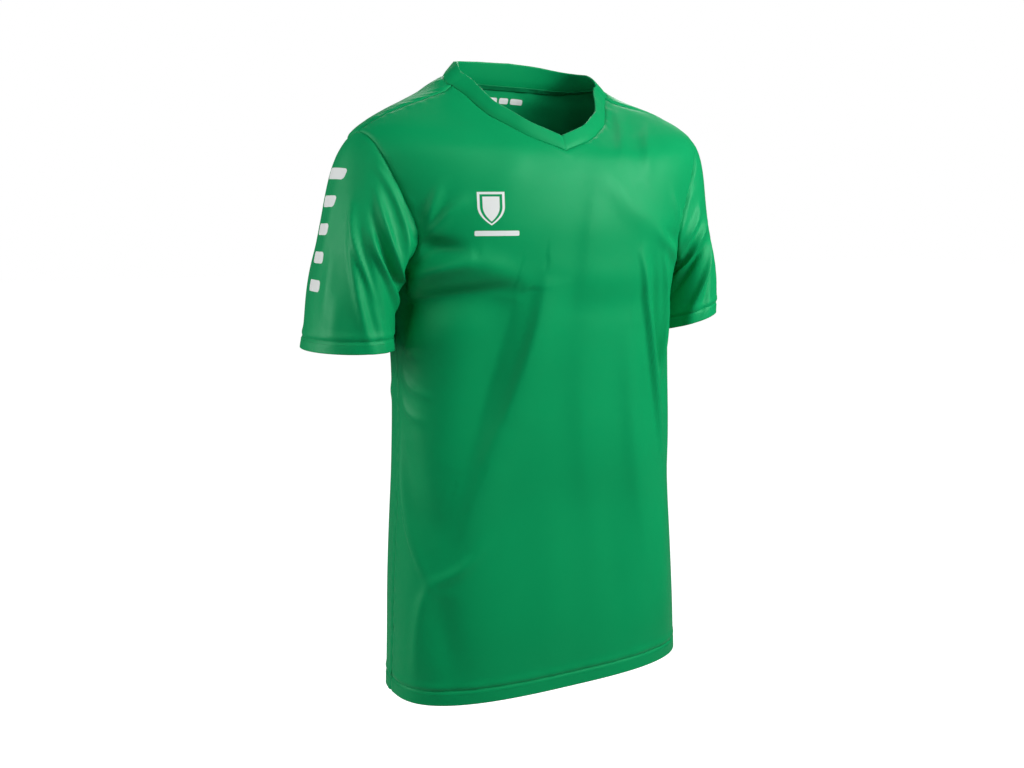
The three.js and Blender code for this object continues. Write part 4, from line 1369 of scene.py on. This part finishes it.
rightDown = grids["right"]["flat"][-1, 0, 1]
leftDown = grids["left"]["flat"][-1, 0, 1]
plainInside = clothMaterial("knit inside", isInside=True)
finishes = {
    "front": (clothMaterial("front knit", marks=chestMarks), plainInside),
    "back": (clothMaterial("back knit"), clothMaterial("back knit inside", True, neckMarks)),
    "right": (clothMaterial("right sleeve knit", marks=sleeveMarks(
        grids["right"]["girth"], rightDown)), plainInside),
    "left": (clothMaterial("left sleeve knit", marks=sleeveMarks(
        grids["left"]["girth"], leftDown)), plainInside),
    "collar": (clothMaterial("collar rib", wale=0.0022, course=0.0008), plainInside),
}
places = {
    "front": ("front_panel", "front_knit"),
    "back": ("back_panel", "back_knit"),
    "right": ("sleeve_right", "sleeve_knit"),
    "left": ("sleeve_left", "sleeve_knit"),
    "collar": ("collar_band", "collar_knit"),
}
for name, (node, slotName) in places.items():
    piece = cloths[name]
    for finish in finishes[name]:
        piece.data.materials.append(finish)
    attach(piece, "root")
    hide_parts(node)
stitchThread, seamThread = threadMaterial("stitch thread"), threadMaterial("seam thread", True)
goesWith = {
    "front": ("frontStitches",),
    "back": ("backStitches", "sideSeamRight", "sideSeamLeft", "shoulderSeamRight", "shoulderSeamLeft"),
    "right": ("sleeveRightStitches", "armholeSeamRight"),
    "left": ("sleeveLeftStitches", "armholeSeamLeft"),
    "collar": ("neckSeam",),
}
for name, sewn in goesWith.items():
    for part in sewn:
        piece = sewing[part]
        piece.data.materials.append(stitchThread if part.endswith("Stitches") else seamThread)
        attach(piece, "root")
print("jersey: knit, print, thread and their places set")

# Camera at the photograph's place

view = {
    "place": (-0.6587, -1.2842, -0.129), "heading": 26.29, "down": 8.61, "lens": 42.57,
    "sensor": 36,
}
camera = bpy.data.objects.new("camera", bpy.data.cameras.new("camera"))
camera.data.lens = view["lens"]
camera.data.sensor_width = view["sensor"]
camera.location = view["place"]
heading, down = math.radians(view["heading"]), math.radians(view["down"])
forward = Vector((math.sin(heading) * math.cos(down), math.cos(heading) * math.cos(down),
                  -math.sin(down)))
camera.rotation_euler = forward.to_track_quat("-Z", "Y").to_euler()
bpy.context.scene.collection.objects.link(camera)
bpy.context.scene.camera = camera
bpy.context.scene.view_settings.view_transform = "Standard"

# Pale floor, pale surroundings and soft studio lights

studio = {
    "floorHeight": -1.45, "floorSize": 40, "seen": 1.0, "surround": 0.045,
    "aim": (0, 0, -0.3),
}
lights = {
    "key": {"place": (0.9, -0.98, 0.32), "size": 0.6, "power": 19.5},
    "front": {"place": (0.4, -2.0, 1.9), "size": 1.6, "power": 26},
    "fill": {"place": (-1.3, -0.6, 0.35), "size": 0.7, "power": 4.0},
    "rim": {"place": (-2.4, 0.9, 0.2), "size": 1.2, "power": 32},
    "back": {"place": (1.4, 2.4, 1.6), "size": 1.8, "power": 50},
}
floorMesh = bpy.data.meshes.new("studioFloor")
reach = studio["floorSize"] / 2
floorMesh.from_pydata(
    [(-reach, -reach, studio["floorHeight"]), (reach, -reach, studio["floorHeight"]),
     (reach, reach, studio["floorHeight"]), (-reach, reach, studio["floorHeight"])],
    [], [(0, 1, 2, 3)])
floor = bpy.data.objects.new("studioFloor", floorMesh)
bpy.context.scene.collection.objects.link(floor)
paleFloor, floorTree, floorShader = newMaterial("pale floor")
floorShader.inputs["Base Color"].default_value = (0.5, 0.5, 0.5, 1)
floorShader.inputs["Roughness"].default_value = 0.9
floorShader.inputs["Emission Color"].default_value = (1, 1, 1, 1)
floorRays = floorTree.nodes.new("ShaderNodeLightPath")
floorGlow = calc(floorTree, "MULTIPLY", floorRays.outputs["Is Camera Ray"], studio["seen"])
floorTree.links.new(floorGlow, floorShader.inputs["Emission Strength"])
floor.data.materials.append(paleFloor)

world = bpy.data.worlds.new("studio")
world.use_nodes = True
sky = world.node_tree.nodes["Background"]
sky.inputs["Color"].default_value = (1, 1, 1, 1)
rays = world.node_tree.nodes.new("ShaderNodeLightPath")
strength = calc(world.node_tree, "MULTIPLY_ADD", rays.outputs["Is Camera Ray"],
                studio["seen"] - studio["surround"], studio["surround"])
world.node_tree.links.new(strength, sky.inputs["Strength"])
bpy.context.scene.world = world


def addLight(name, light):
    lamp = bpy.data.lights.new(name, "AREA")
    lamp.shape = "SQUARE"
    lamp.size = light["size"]
    lamp.energy = light["power"]
    holder = bpy.data.objects.new(name, lamp)
    holder.location = light["place"]
    aim = Vector(studio["aim"]) - Vector(light["place"])
    holder.rotation_euler = aim.to_track_quat("-Z", "Y").to_euler()
    bpy.context.scene.collection.objects.link(holder)


for lightName, light in lights.items():
    addLight(lightName + "Light", light)
print("jersey: camera, floor and lights placed")
